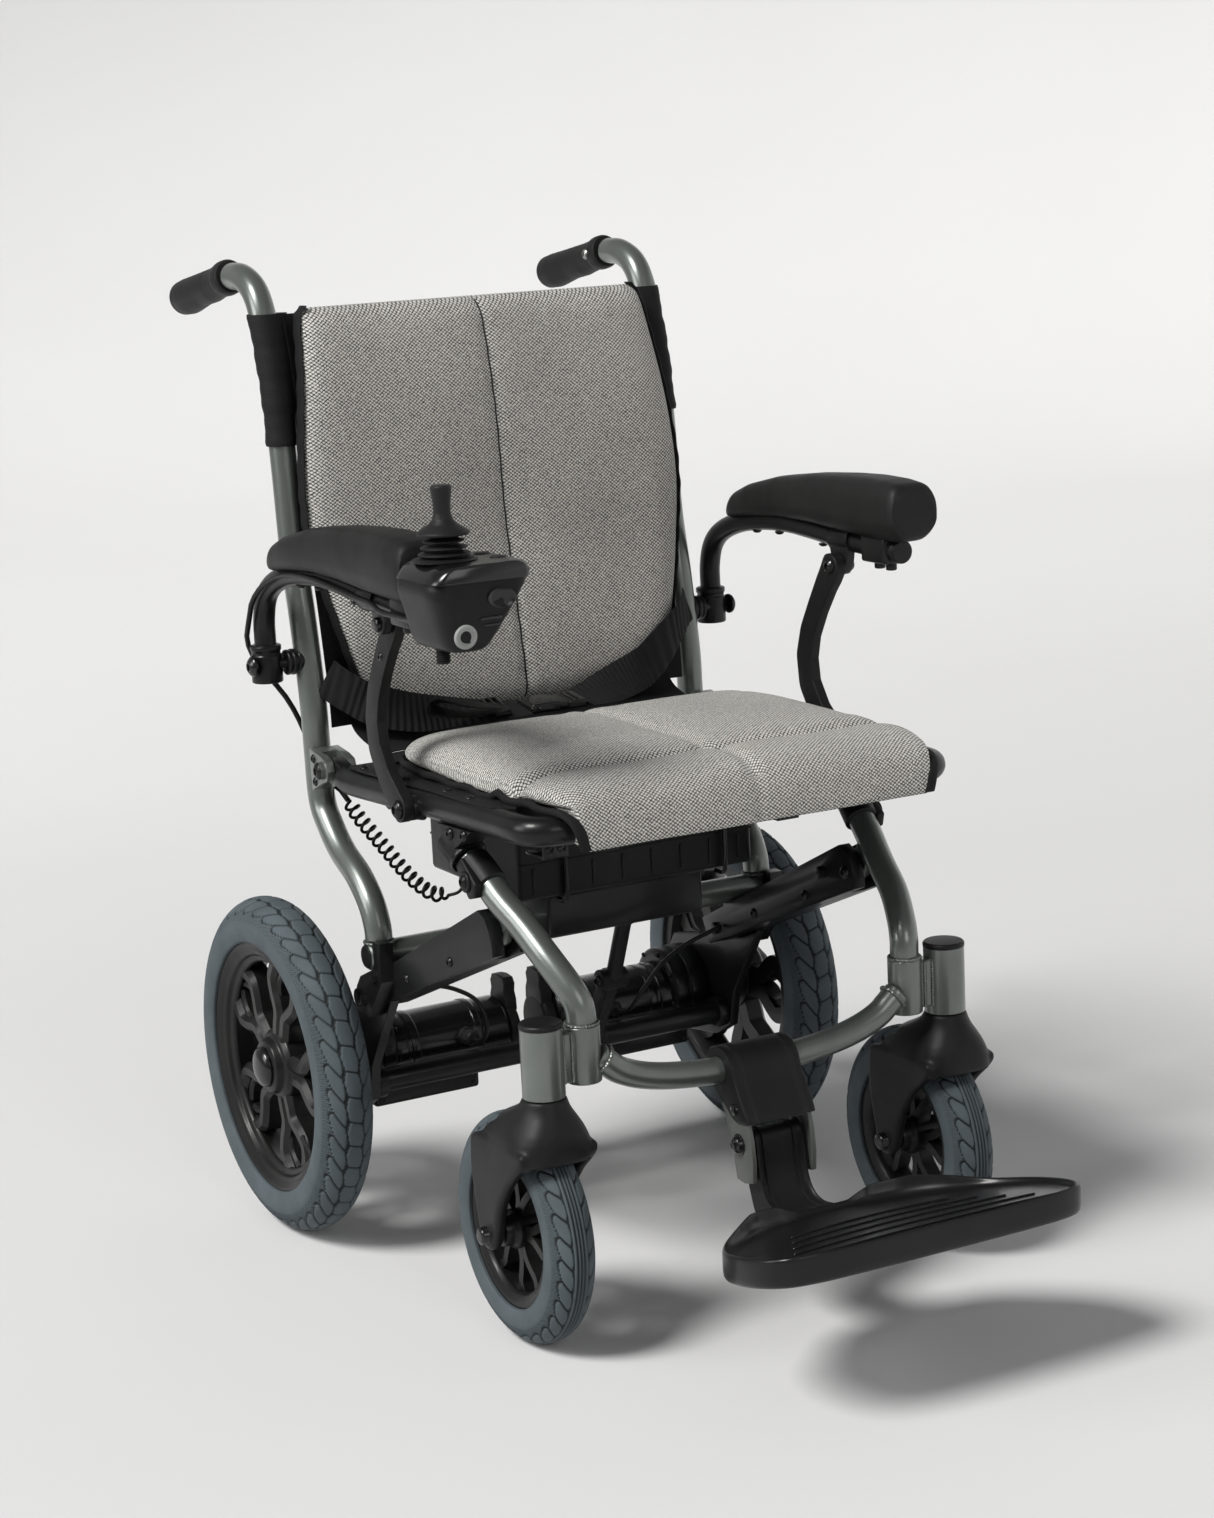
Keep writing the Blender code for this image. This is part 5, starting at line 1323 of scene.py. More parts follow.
def build_footrest():
    y, z = FOOT_HINGE
    sleeve = mm([
        (-170, 215), (-172.5, 224), (-179, 231.5), (-192.5, 235.5), (-205, 231.5), (-213, 223),
        (-219, 208), (-236, 180), (-233, 176.5), (-215, 175.5), (-199, 187), (-180, 199),
    ])
    smooth = curved(sleeve + sleeve[:1], 0.003)[:-1]
    rings = []
    centre = Vector((-0.202, 0.204))
    for x, grow in (
        (-0.034, 0.94), (-0.0335, 0.98), (-0.0322, 1.0), (-0.0262, 1.0), (-0.0256, 0.985),
        (-0.0246, 0.985), (-0.024, 1.0), (-0.02, 1.0), (0.0, 1.0), (0.02, 1.0),
        (0.024, 1.0), (0.0246, 0.985), (0.0256, 0.985), (0.0262, 1.0), (0.0322, 1.0),
        (0.0335, 0.98), (0.034, 0.94),
    ):
        rings.append([(x, centre.x + (p.x - centre.x) * grow, centre.y + (p.y - centre.y) * grow)
                      for p in smooth])
    make("clamp_sleeve", skin_rings(rings), PLASTIC, "seat_frame",
         ("footrest_clamp",), angle=40)
    cheek = [
        (-0.206, 0.2), (-0.229, 0.187), (y - 0.018, z + 0.006), (y - 0.02, z - 0.012),
        (y - 0.019, z - 0.03), (y - 0.006, z - 0.033), (y + 0.006, z - 0.032),
        (y + 0.009, z - 0.018), (y + 0.011, z), (-0.193, 0.185),
    ]
    plates = joined(slab(cheek, "X", 0.0275, 0.032, 0.0008),
                    slab(cheek, "X", -0.032, -0.0275, 0.0008))
    make("clamp_cheeks", plates, GREY_PLATE, "seat_frame")
    nuts = []
    for s in (-1, 1):
        nuts.append(turned([
            (0, 0), (0, 9.2), (1, 9.2), (1, 7.4), (4.5, 7), (6.2, 5), (6.7, 2), (6.7, 0),
        ], 0.4, 2, (s * 0.0318, y, z), (s, 0, 0), 24))
        nuts.append(turned([
            (0, 0), (0, 6.6), (1, 6.6), (1, 5.2), (3.8, 4.8), (4.8, 0),
        ], 0.3, 2, (s * 0.0318, y + 0.002, z + 0.03), (s, 0, 0), 24))
    nuts.append(pipe([(-0.033, y, z), (0.033, y, z)], 0.0045, 16))
    make("clamp_nuts", joined(*nuts), GLOSS, "seat_frame")
    # the post, with its grooves down the front
    outline = [
        (y + 0.008, z + 0.004), (y + 0.005, z + 0.0095), (y, z + 0.0112), (y - 0.006, z + 0.0095),
        (y - 0.01, z + 0.004), (-0.233, 0.134), (-0.2385, 0.118), (-0.247, 0.1085),
        (-0.26, 0.1045), (-0.275, 0.106), (-0.293, 0.1092), (-0.294, 0.0935),
        (-0.27, 0.09), (-0.253, 0.0872), (-0.238, 0.09), (-0.228, 0.099),
        (-0.22, 0.12), (-0.214, 0.14),
    ]
    rings = []
    loop = curved(outline + outline[:1], 0.0028)[:-1]
    for x in (-0.0235, -0.0228, -0.0212, -0.0188, -0.0166, -0.016, -0.0144, -0.0138, -0.006,
              0.006, 0.0138, 0.0144, 0.016, 0.0166, 0.0188, 0.0212, 0.0228, 0.0235):
        inset = {0.0235: 0.0026, 0.0228: 0.001, 0.0212: 0.0002}.get(abs(x), 0.0)
        if abs(x) in (0.016, 0.0144):
            inset = 0.0015
        ring = []
        for i, p in enumerate(loop):
            t = (loop[(i + 1) % len(loop)] - loop[i - 1]).normalized()
            n = Vector((t.y, -t.x))
            ring.append((x, p.x + n.x * inset, p.y + n.y * inset))
        rings.append(ring)
    make("post_casting", skin_rings(rings), CAST, "footrest", ("footrest_post",),
         angle=40)
    build_footplate()


PLATE_HALF = mm([
    (0, -292), (33, -292), (47, -295), (76, -306), (103, -328), (129, -350), (146, -378),
    (153, -408), (152, -434), (144, -454), (128, -465), (90, -470.5), (0, -472),
])


def plate_z(y):
    return 0.115 + (-0.302 - y) * 0.222


def build_footplate():
    outline = curved(PLATE_HALF + [(-x, y) for x, y in PLATE_HALF[-2:0:-1]] + PLATE_HALF[:1],
                     0.0034)[:-1]
    centre = Vector((0.0, -0.392))

    def hump(x, y):
        rear = max(0.0, min(1.0, (y + 0.372) / 0.05))
        a = abs(x)
        shape = np.interp(a, [0.0, 0.026, 0.034, 0.048, 0.08, 0.11, 0.135, 0.15],
                          [0.0, 0.0, 0.0035, 0.0095, 0.0115, 0.007, 0.002, 0.0])
        return float(shape) * (3 * rear ** 2 - 2 * rear ** 3)

    levels = [
        (0.955, -0.0205, 0.0), (0.972, -0.0215, 0.0), (0.986, -0.0208, 0.0), (0.996, -0.0185, 0.0),
        (1.0, -0.014, 0.0), (1.0, -0.003, 1.0), (0.999, 0.0005, 1.0), (0.994, 0.0024, 1.0),
        (0.986, 0.0031, 1.0), (0.977, 0.0027, 1.0), (0.968, 0.0008, 0.92), (0.958, -0.0012, 0.75),
        (0.945, -0.002, 0.5), (0.92, -0.0022, 0.22), (0.88, -0.0022, 0.0),
    ]
    levels += [(s, -0.0022, 0.0) for s in (0.84, 0.8, 0.74, 0.68, 0.62, 0.55, 0.48, 0.4, 0.32,
                                           0.24, 0.16, 0.08, 0.02)]
    under = [(0.02, -0.015, 0.0), (0.5, -0.015, 0.0), (0.9, -0.015, 0.0), (0.94, -0.019, 0.0)]
    rings = []
    for scale, drop, share in under + levels:
        ring = []
        for p in outline:
            q = centre + (p - centre) * scale
            ring.append((q.x, q.y, plate_z(q.y) + drop + share * hump(p.x, p.y)))
        rings.append(ring)
    make("footplate_moulding", skin_rings(rings), BLACK, "footrest",
         ("footrest_plate",), angle=50)
    ribs = []
    for k in range(5):
        front = -0.443 + k * 0.018
        line = []
        for i in range(41):
            x = -0.128 + 0.256 * i / 40
            reach = 1.0 - 0.1 * k
            xx = x * reach
            yy = front - 0.01 * (x / 0.128) ** 2 + k * 0.0035
            line.append((xx, yy, plate_z(yy) - 0.0016))
        ribs.append(pipe(line, 0.001, 10, 0.0008))
    make("footplate_ribs", joined(*ribs), BLACK, "footrest")


# ------------------------------------------------------------------ armrests
ARM_PATH = mm([
    (240.8, 548), (241.2, 560), (240.5, 573), (235, 590), (224, 602.5), (205, 612.5), (175, 621),
    (135, 626.2), (95, 627.5), (55, 625.2), (0, 620.5), (-65, 616.5),
])
PAD_ROWS = mm([
    (189, 11.5, 625.5, 629), (185, 15, 625, 637), (178, 18, 625.2, 646), (170, 19.5, 626.2, 652),
    (145, 21.2, 629, 661), (95, 22.5, 632.5, 671.4), (40, 23.2, 631.5, 677.4),
    (-10, 24, 628, 680.6), (-50, 25, 626.2, 681.8), (-83, 25.8, 625.2, 680.8),
    (-102, 25.8, 626.2, 678.5), (-108, 25.2, 628.5, 676.2), (-110, 24, 632, 672.5),
])
LINK_PATH = mm([
    (-5.5, 597.5, 12.8), (0, 589, 12.4), (7, 580, 11.6), (22.5, 557, 10.8), (37, 532, 11),
    (44, 508, 11.8), (41, 483, 12), (25, 459, 11.8), (-1.5, 436, 12.5),
])


def resampled(rows, step):
    """Rows of numbers, evenly spaced along their first column and lightly smoothed."""
    table = np.array(rows)
    along = np.cumsum([0.0] + [abs(b[0] - a[0]) + 1e-6 for a, b in zip(rows, rows[1:])])
    wanted = np.linspace(0, along[-1], max(2, round(along[-1] / step)) + 1)
    dense = [np.interp(wanted, along, table[:, i]) for i in range(table.shape[1])]
    smooth = [np.convolve(np.pad(c, 1, mode="edge"), np.ones(3) / 3, mode="valid") for c in dense]
    for c, d in zip(smooth, dense):
        c[:1], c[-1:] = d[:1], d[-1:]
    return [tuple(row) for row in np.array(smooth).T]


def build_arms():
    y = ARM_HINGE[0]
    ly, lz = LINK_TOP
    rows = resampled(PAD_ROWS, 0.003)
    for side, sign in SIDES.items():
        body = "armrest_" + side
        rings = []
        for py, half, low, high in rows:
            ring = []
            split = low + (high - low) * 0.42
            for ca, sa in circle(64):
                if sa >= 0:
                    xx = half * math.copysign(abs(ca) ** 0.5, ca)
                    zz = split + (high - split) * sa ** 0.7
                else:
                    xx = half * math.copysign(abs(ca) ** 0.5, ca) * (1 - 0.22 * abs(sa) ** 1.5)
                    zz = split - (split - low) * abs(sa) ** 0.75
                # the seam between the soft top and the shell below it
                gap = abs(zz - (split - 0.0012))
                squeeze = 0.0009 * math.exp(-(gap / 0.0009) ** 2)
                xx -= math.copysign(squeeze, ca)
                ring.append((0.239 + xx, py, zz))
            rings.append(ring)
        pad = one_side("arm_pad_top", side, skin_rings(rings), SOFT_BLACK, body,
                       "arm_pad", angle=60)
        tube = pipe(curved([(ARM_X, a, b) for a, b in ARM_PATH], 0.004), 0.01, 32)
        barrel = turned([
            (0, 0), (0, 13.6), (1, 14.3), (25, 14.3), (26.2, 13.2), (29, 13.2), (30, 14.3),
            (34, 14.3), (35.2, 11.8), (35.2, 0),
        ], 0.6, 2, (ARM_X, y, 0.516), "Z", 44)
        lug = slab(
            [(ly - 0.0145, lz + 0.02), (ly - 0.012, lz + 0.005), (ly - 0.0085, lz - 0.004),
             (ly - 0.0045, lz - 0.008), (ly, lz - 0.0092), (ly + 0.0045, lz - 0.008),
             (ly + 0.0085, lz - 0.004), (ly + 0.0125, lz + 0.005), (ly + 0.0165, lz + 0.02)],
            "X", 0.2268, 0.2362, 0.0012,
        )
        strap = turned([
            (-16, 10.4), (-16, 12.2), (16, 12.2), (16, 10.4), (-16, 10.4),
        ], 0.8, 2, (ARM_X, ly + 0.001, lz + 0.023), (0, -1, 0.05), 36)
        parts = [tube, barrel, lug, strap]
        if sign < 0:
            parts.append(brick((0.224, -0.098, 0.605), (0.251, -0.06, 0.629), 0.003))
            parts.append(brick((0.234, -0.134, 0.608), (0.25, -0.095, 0.62), 0.002))
            screw_y = (-0.088, -0.07)
        else:
            parts.append(brick((0.224, -0.083, 0.605), (0.251, -0.045, 0.629), 0.003))
            parts.append(turned([
                (0, 0), (0, 11), (8, 11), (9, 10), (10, 10.8), (11.8, 10.6), (12.4, 9.2),
                (12.4, 0),
            ], 0.5, 2, (ARM_X, -0.0805, 0.6165), (0, -1, 0), 32))
            screw_y = (-0.073, -0.055)
        one_side("arm_bar", side, joined(*parts), BLACK, body, "arm_tube")
        fixings = []
        for py in (0.15, 0.11, 0.035):
            base = np.interp(-py, [-0.15, -0.11, 0.0], [0.625, 0.6268, 0.6205])
            fixings.append(brick((0.231, py - 0.009, base + 0.002),
                                 (0.2434, py + 0.009, 0.641), 0.0015))
            fixings.append(bolt((ARM_X, py, base - 0.0096), (0, 0, -1), 0.0046, 0.003))
        for py in screw_y:
            fixings.append(turned([
                (0, 0), (0, 5), (7, 5), (7.8, 4), (7.8, 0),
            ], 0.4, 2, (ARM_X + 0.001, py, 0.606), (0, 0, -1), 20))
        one_side("arm_fixings", side, joined(*fixings), DARK_BOLT, body)
        # the bowed link
        line = resampled([(i * 0.02, *row) for i, row in enumerate(LINK_PATH)], 0.0015)
        left, right = [], []
        for i, (_, py, pz, half) in enumerate(line):
            a, b = line[max(i - 1, 0)], line[min(i + 1, len(line) - 1)]
            t = Vector((b[1] - a[1], b[2] - a[2])).normalized()
            n = Vector((-t.y, t.x))
            left.append(Vector((py, pz)) + n * half)
            right.append(Vector((py, pz)) - n * half)
        top_t = Vector((line[0][1] - line[3][1], line[0][2] - line[3][2])).normalized()
        end_t = Vector((line[-1][1] - line[-4][1], line[-1][2] - line[-4][2])).normalized()

        def cap_points(centre, way, radius):
            side_way = Vector((-way.y, way.x))
            return [tuple(Vector(centre) + side_way * radius * math.cos(a)
                          + way * radius * 0.86 * math.sin(a))
                    for a in np.linspace(0, math.pi, 11)[1:-1]]

        outline = ([tuple(p) for p in left] + cap_points(line[-1][1:3], end_t, 0.0125)
                   + [tuple(p) for p in right[::-1]]
                   + cap_points(line[0][1:3], top_t, 0.0128))
        bar = slab(outline, "X", 0.2165, 0.2262, 0.0026, 4)
        one_side("link_forging", side, bar, CAST, "arm_link_" + side, "arm_link",
                 angle=45)
        top = joined(
            bolt((0.2166, ly, lz), (-1, 0, 0), 0.007, 0.0042),
            pipe([(0.215, ly, lz), (0.238, ly, lz)], 0.0042, 16),
            turned([
                (0, 0), (0, 6.6), (4.2, 6.2), (5.2, 4), (5.2, 0),
            ], 0.5, 2, (0.2355, ly, lz), "X", 24),
            bolt((0.2258, 0.0165, 0.566), "X", 0.004, 0.0022),
        )
        one_side("link_top_bolt", side, top, GLOSS, "arm_link_" + side)


# ------------------------------------------------------------------ controller
def build_controller():
    x, y = STICK
    top = 0.668
    mid_x, mid_z = -0.234, 0.635        # the housing's middle, seen from the front
    base = mm([
        (-279.5, 648), (-276.2, 657), (-270, 664), (-263, 667.2), (-256, 668), (-220, 668),
        (-204, 668), (-196, 666), (-191.5, 661), (-191.5, 655), (-196, 647), (-212, 625),
        (-228, 605), (-233.5, 600), (-240, 598.2), (-250, 598), (-260, 599), (-265.5, 602),
        (-268.5, 608), (-273.5, 628),
    ])
    ring0 = curved(base + base[:1], 0.0022)[:-1]
    levels = [
        (-0.1345, 0.9, 0.0), (-0.135, 0.94, 0.0), (-0.1362, 0.975, 0.0), (-0.1385, 0.995, 0.0),
        (-0.142, 1.0, 0.0), (-0.16, 1.0, 0.0), (-0.176, 1.0, 0.0), (-0.186, 0.998, 0.0),
        (-0.193, 0.98, 0.0003), (-0.198, 0.935, 0.001), (-0.2012, 0.87, 0.0015),
        (-0.2032, 0.79, 0.002), (-0.204, 0.7, 0.002),
    ]
    rings = []
    for yy, grow, drop in levels:
        ring = []
        for p in ring0:
            px = mid_x + (p.x - mid_x) * grow
            pz = mid_z + (p.y - mid_z) * grow - drop
            # the parting groove between the top rim and the tub
            gap = abs(p.y - (0.6475 + 0.002 * math.sin((p.x + 0.2795) * 34)))
            squeeze = 0.0009 * math.exp(-(gap / 0.0011) ** 2)
            if abs(p.x - mid_x) > 0.03:
                px -= math.copysign(squeeze, p.x - mid_x)
            ring.append((px, yy + squeeze * (1.0 if yy < -0.18 else 0.0), pz))
        rings.append(ring)
    make("controller_tub", skin_rings(rings), PLASTIC, "armrest_right",
         ("controller_body",), angle=45)
    band = []
    for yy, grow in ((-0.134, 0.965), (-0.1352, 0.998), (-0.1375, 1.02), (-0.142, 1.03),
                     (-0.186, 1.03), (-0.1945, 1.012), (-0.2008, 0.968), (-0.205, 0.905),
                     (-0.207, 0.82)):
        band.append([(mid_x + (p.x - mid_x) * grow, yy, p.y + 0.0004) for p in ring0
                     if p.y > 0.6535])
    make("controller_lid", bevelled(skin_rings(band), 0.0008, 2, 50), GLOSS, "armrest_right",
         angle=50)
    dish = turned([
        (0, 17), (0.6, 26.2), (1.8, 26.6), (2.6, 24.8), (2.2, 22.5), (1, 18), (0, 17),
    ], 0.4, 2, (x, y, top - 0.0004), "Z", 56)
    make("joystick_dish", dish, PLASTIC, "armrest_right")
    front = joined(
        placed(turned([
            (0, 0), (0.4, 7.5), (1.2, 8.5), (1.6, 7.8), (0.2, 6), (-1, 0),
        ], 0.3, 2, (0, 0, 0), "X", 36),
               Matrix.Translation((-0.22, -0.204, 0.64)) @ frame_to((0, -1, -0.12))
               @ Matrix.Scale(1.5, 4, (0, 1, 0))),
        brick((-0.24, -0.2052, 0.6235), (-0.221, -0.203, 0.6265), 0.0006),
        brick((-0.237, -0.2048, 0.6185), (-0.223, -0.2025, 0.6208), 0.0006),
    )
    make("controller_recess", front, GLOSS, "armrest_right")
    port = turned([
        (0, 6.8), (0, 9.8), (2.2, 9.8), (3, 9), (3, 7.2), (1.8, 6.2), (1.8, 4.8), (0.8, 4.8),
        (0.8, 0),
    ], 0.4, 2, (-0.253, -0.2026, 0.6125), (0, -1, -0.1), 40)
    make("charger_port", port, PALE_RING, "armrest_right")
    threads = [(0.0, 0.006)]
    for i in range(7):
        threads += [(0.0012 + i * 0.0016, 0.006), (0.002 + i * 0.0016, 0.005)]
    threads += [(0.0122, 0.0052), (0.0124, 0.0)]
    relief_cone = lathe(threads, (-0.257, -0.17, 0.6), (0, 0, -1), 28)
    make("controller_relief", relief_cone, SOFT_BLACK, "armrest_right")
    clamp = joined(
        turned([
            (0, 10.3), (0, 13.5), (12, 13.5), (12, 10.3), (0, 10.3),
        ], 0.8, 2, (-ARM_X, -0.1, 0.6165), (0, -1, 0), 36),
        bolt((-0.251, -0.115, 0.614), (-1, 0, 0), 0.0042),
        bolt((-0.251, -0.127, 0.614), (-1, 0, 0), 0.0042),
    )
    make("controller_bracket_bolts", clamp, DARK_BOLT, "armrest_right")

    pivot = (x, y, 0.656)
    knob = turned([
        (-4, 0), (-4, 5), (6, 5), (24, 4.6), (30, 4.8), (31.8, 10), (32.6, 20.6), (33.8, 21.4),
        (35.2, 21), (37.8, 17.2), (41.2, 11.8), (45, 8.4), (50, 7), (58, 7.2), (67, 8.4),
        (70.5, 8.6), (72.1, 7.4), (72.5, 0),
    ], 0.8, 3, pivot, "Z", 56)
    make("stick_knob", knob, SOFT_BLACK, "joystick", ("joystick_knob",), angle=50)
    lower = mm([
        (0.6, 14.5), (0.6, 22.8), (1.2, 23.6), (2.4, 23.8), (3.2, 16.2), (4.2, 16.2), (5, 21.2),
        (6.2, 21.2), (7.2, 16.7), (8.2, 15), (7.4, 14), (0.6, 14.5),
    ])
    upper = mm([
        (7.8, 13), (8, 14.4), (8.6, 14.6), (9.4, 14.6), (10.2, 19), (11.4, 19), (12.4, 14),
        (13.6, 11.6), (14.6, 11.6), (15.4, 16.6), (16.6, 16.6), (17.6, 12.1), (19.6, 9.5),
        (19.8, 6), (17, 5.8), (7.8, 13),
    ])
    for name, profile, bodies, ends, kept in (
        ("gaiter_foot", lower, ("armrest_right", "stick_gimbal"), (0.0024, 0.008), ()),
        ("stick_gaiter", upper, ("stick_gimbal", "joystick"), (0.009, 0.018),
         ("joystick_gaiter",)),
    ):
        shape = lathe(rounded(profile, 0.0005, 2), (x, y, top), "Z", 56)
        make(name, shape, SOFT_BLACK,
             (*bodies, (x, y, top + ends[0]), (x, y, top + ends[1])), kept, angle=50)
    ring = turned([(-3, 12.5), (-3, 9), (3, 9), (3, 12.5), (-3, 12.5)], 0.4, 2, pivot, "Z", 32)
    make("gimbal_ring", ring, STEEL, "stick_gimbal", ("joystick_gimbal",))
    for name, (bx, by) in (("power_button", (-0.208, -0.15)), ("horn_button", (-0.208, -0.178))):
        cap = turned([
            (-2.5, 0), (-2.5, 4.7), (0.6, 4.7), (1.5, 4), (1.1, 2.2), (1, 0),
        ], 0.4, 2, (bx, by, top), "Z", 32)
        make(name + "_cap", cap, SOFT_BLACK, name, (name,))
        collar = turned([
            (0.2, 5.2), (1.2, 5.4), (1.2, 6.6), (0.2, 7), (0.2, 5.2),
        ], 0.3, 2, (bx, by, top), "Z", 32)
        make(name + "_collar", collar, PLASTIC, "armrest_right")


# ------------------------------------------------------------------ chassis
def build_chassis():
    for side in SIDES:
        softened("beam_box_" + side, "rear_beam_" + side, 0.0014, BLACK, "rear_chassis")
        details = []
        for by, bz in ((-0.03, 0.303), (0.06, 0.268)):
            details.append(bolt((0.2, by, bz), "X", 0.0046, 0.0028))
            details.append(bolt((0.162, by, bz), (-1, 0, 0), 0.0046, 0.0028))
        details.append(bolt((0.1935, *FOLD), "X", 0.0075, 0.0045))
        details.append(bolt((0.1622, -0.0975, 0.337), (-1, 0, 0), 0.0065, 0.0035))
        details.append(turned([
            (0, 0), (0, 8.5), (2, 8.5), (2.6, 7), (2.6, 0),
        ], 0.4, 2, (0.2124, 0.138, 0.236), "X", 24))
        one_side("beam_bolts", side, joined(*details), DARK_BOLT, "rear_chassis")
        lid = slab(mm([
            (-112.2, 325.2), (-112, 334), (-107.8, 345), (-101.2, 355.2), (-99.5, 354.8),
            (-106, 344.8), (-110.4, 333.5), (-110.4, 325.2),
        ]), "X", 0.1625, 0.1735, 0.0005, 2)
        one_side("beam_end", side, lid, PLASTIC, "rear_chassis")
        # the motor: winding can, gearbox with fins, brake end and gland
        motor = (0.0, WHEEL_Y, MOTOR_Z)
        winding = turned([
            (26.2, 0), (26.2, 27), (28, 30), (30, 31.8), (32, 32.6), (58, 32.6), (60, 34.5),
            (65.5, 34.5), (66, 33.6), (125, 33.6), (125.6, 34.5), (133, 34.5), (133.6, 33),
            (137.2, 33), (137.8, 34.5), (156, 34.5), (156, 0),
        ], 0.5, 2, motor, "X", 72)
        one_side("motor_can", side, winding, GLOSS, "rear_chassis", "motor")
        gear = turned([
            (150, 0), (150, 34), (151.5, 38.5), (154, 40.3), (166, 40.5), (166.4, 39.2),
            (169, 39.2), (169.4, 40.5), (185, 40.5), (185.5, 39.5), (189.4, 39.5), (189.4, 0),
        ], 0.6, 2, (0.0, WHEEL_Y, WHEEL_Z), "X", 72)
        casing = brick((0.062, 0.208, 0.104), (0.172, 0.259, 0.126), 0.0035)
        lid = brick((0.066, 0.206, 0.1075), (0.168, 0.2085, 0.122), 0.001)
        one_side("gear_case", side, joined(gear, casing, lid), BLACK, "rear_chassis")
        studs = []
        for k in range(8):
            a = 2 * math.pi * k / 8 + 0.2
            studs.append(bolt((0.15 - 0.0002, WHEEL_Y + 0.0365 * math.cos(a),
                               WHEEL_Z + 0.0365 * math.sin(a)), (-1, 0, 0), 0.0026, 0.0018))
        for k in range(4):
            a = math.pi / 2 * k + 0.7
            studs.append(bolt((0.0597, WHEEL_Y + 0.0333 * math.cos(a),
                               MOTOR_Z + 0.0333 * math.sin(a)), (-1, 0, 0), 0.002, 0.0016))
        for px in (0.07, 0.164):
            for pz in (0.1105, 0.119):
                studs.append(bolt((px, 0.2062, pz), (0, -1, 0), 0.002, 0.0012))
        one_side("motor_studs", side, joined(*studs), DARK_BOLT, "rear_chassis")
        gland = turned([
            (0, 0), (0, 8.8), (4.5, 8.8), (5.5, 7), (7.5, 7), (8.5, 8.2), (13, 8), (17, 5.5),
            (17, 0),
        ], 0.5, 2, (0.078, 0.201, 0.16), (0, -1, 0), 8)
        one_side("motor_gland", side, gland, SOFT_BLACK, "rear_chassis")
        softened("mount_plate_" + side, "motor_mount_" + side, 0.0012, BLACK, "rear_chassis")
        # winged lever on the brake end
        collar = turned([
            (13, 0), (13, 22.5), (14.5, 25.5), (16.5, 27), (24, 27.5), (25.6, 26.2), (25.6, 0),
        ], 0.8, 2, motor, "X", 56)
        outline = mm([
            (216.5, 168.5), (217.2, 180), (220.5, 188), (219, 196), (223, 201.8), (233.5, 203),
            (244, 201.8), (248, 196), (246.5, 188), (249.8, 180), (250.5, 168.5),
        ])
        mid = Vector((0.2335, 0.186))
        wing = []
        for xx, grow in ((0.0132, 0.94), (0.014, 0.985), (0.016, 1.0), (0.023, 1.0),
                         (0.0248, 0.985), (0.0255, 0.95)):
            wing.append([(xx, mid.x + (a - mid.x) * grow, mid.y + (b - mid.y) * grow)
                         for a, b in outline])
        ridges = []
        for k in range(6):
            zz = 0.1885 + k * 0.0024
            for xx in (0.0145, 0.0243):
                ridges.append(pipe([(xx, 0.2215, zz), (xx, 0.2455, zz)], 0.0008, 8))
        lever = joined(collar, bevelled(skin_rings(wing), 0.001, 2, 60), *ridges)
        one_side("clutch_handle", side, lever, SOFT_BLACK, "clutch_" + side,
                 "clutch_lever", angle=40)
    bar = turned([(-189.5, 0), (-189.5, 11), (189.5, 11), (189.5, 0)], 0.5, 2, (0, *AXLE), "X", 40)
    collars = [turned([
        (0, 10.9), (0, 15), (10, 15), (10, 10.9), (0, 10.9),
    ], 0.8, 2, (s * 0.179, *AXLE), (s, 0, 0), 32)
               for s in (-1, 1)]
    make("axle_bar", joined(bar, *collars), BLACK, "rear_chassis", ("axle_tube",))
    strut = joined(
        turned([
            (28, 11.2), (28, 16), (52, 16), (52, 11.2), (28, 11.2),
        ], 1.2, 2, (0, *AXLE), "X", 36),
        slab(mm([(160, 139), (172, 156), (130, 222), (112, 214)]), "X", 0.034, 0.046, 0.0018),
        pipe(curved(mm([(40, 122, 206), (40, 104.5, 247), (40, 87, 288)]), 0.004), 0.0075, 24),
        turned([(26, 0), (26, 10.5), (54, 10.5), (54, 0)], 1.5, 3, (0, *STRUT_ELBOW), "X", 32),
        turned([
            (0, 0), (0, 9.5), (4, 11), (7, 10), (7, 0),
        ], 0.8, 2, (0.04, 0.0895, 0.2822), (0, -0.03, 0.0), 28),
    )
    make("strut_casting", strut, CAST, "rear_chassis", ("prop_strut",))
    knobs = joined(bolt((0.026, *STRUT_ELBOW), (-1, 0, 0), 0.006, 0.0034),
                   bolt((0.054, *STRUT_ELBOW), (1, 0, 0), 0.006, 0.0034),
                   bolt((0.04, 0.156, 0.142), (0, -1, 0), 0.0042, 0.0028))
    make("strut_bolts", knobs, DARK_BOLT, "rear_chassis")


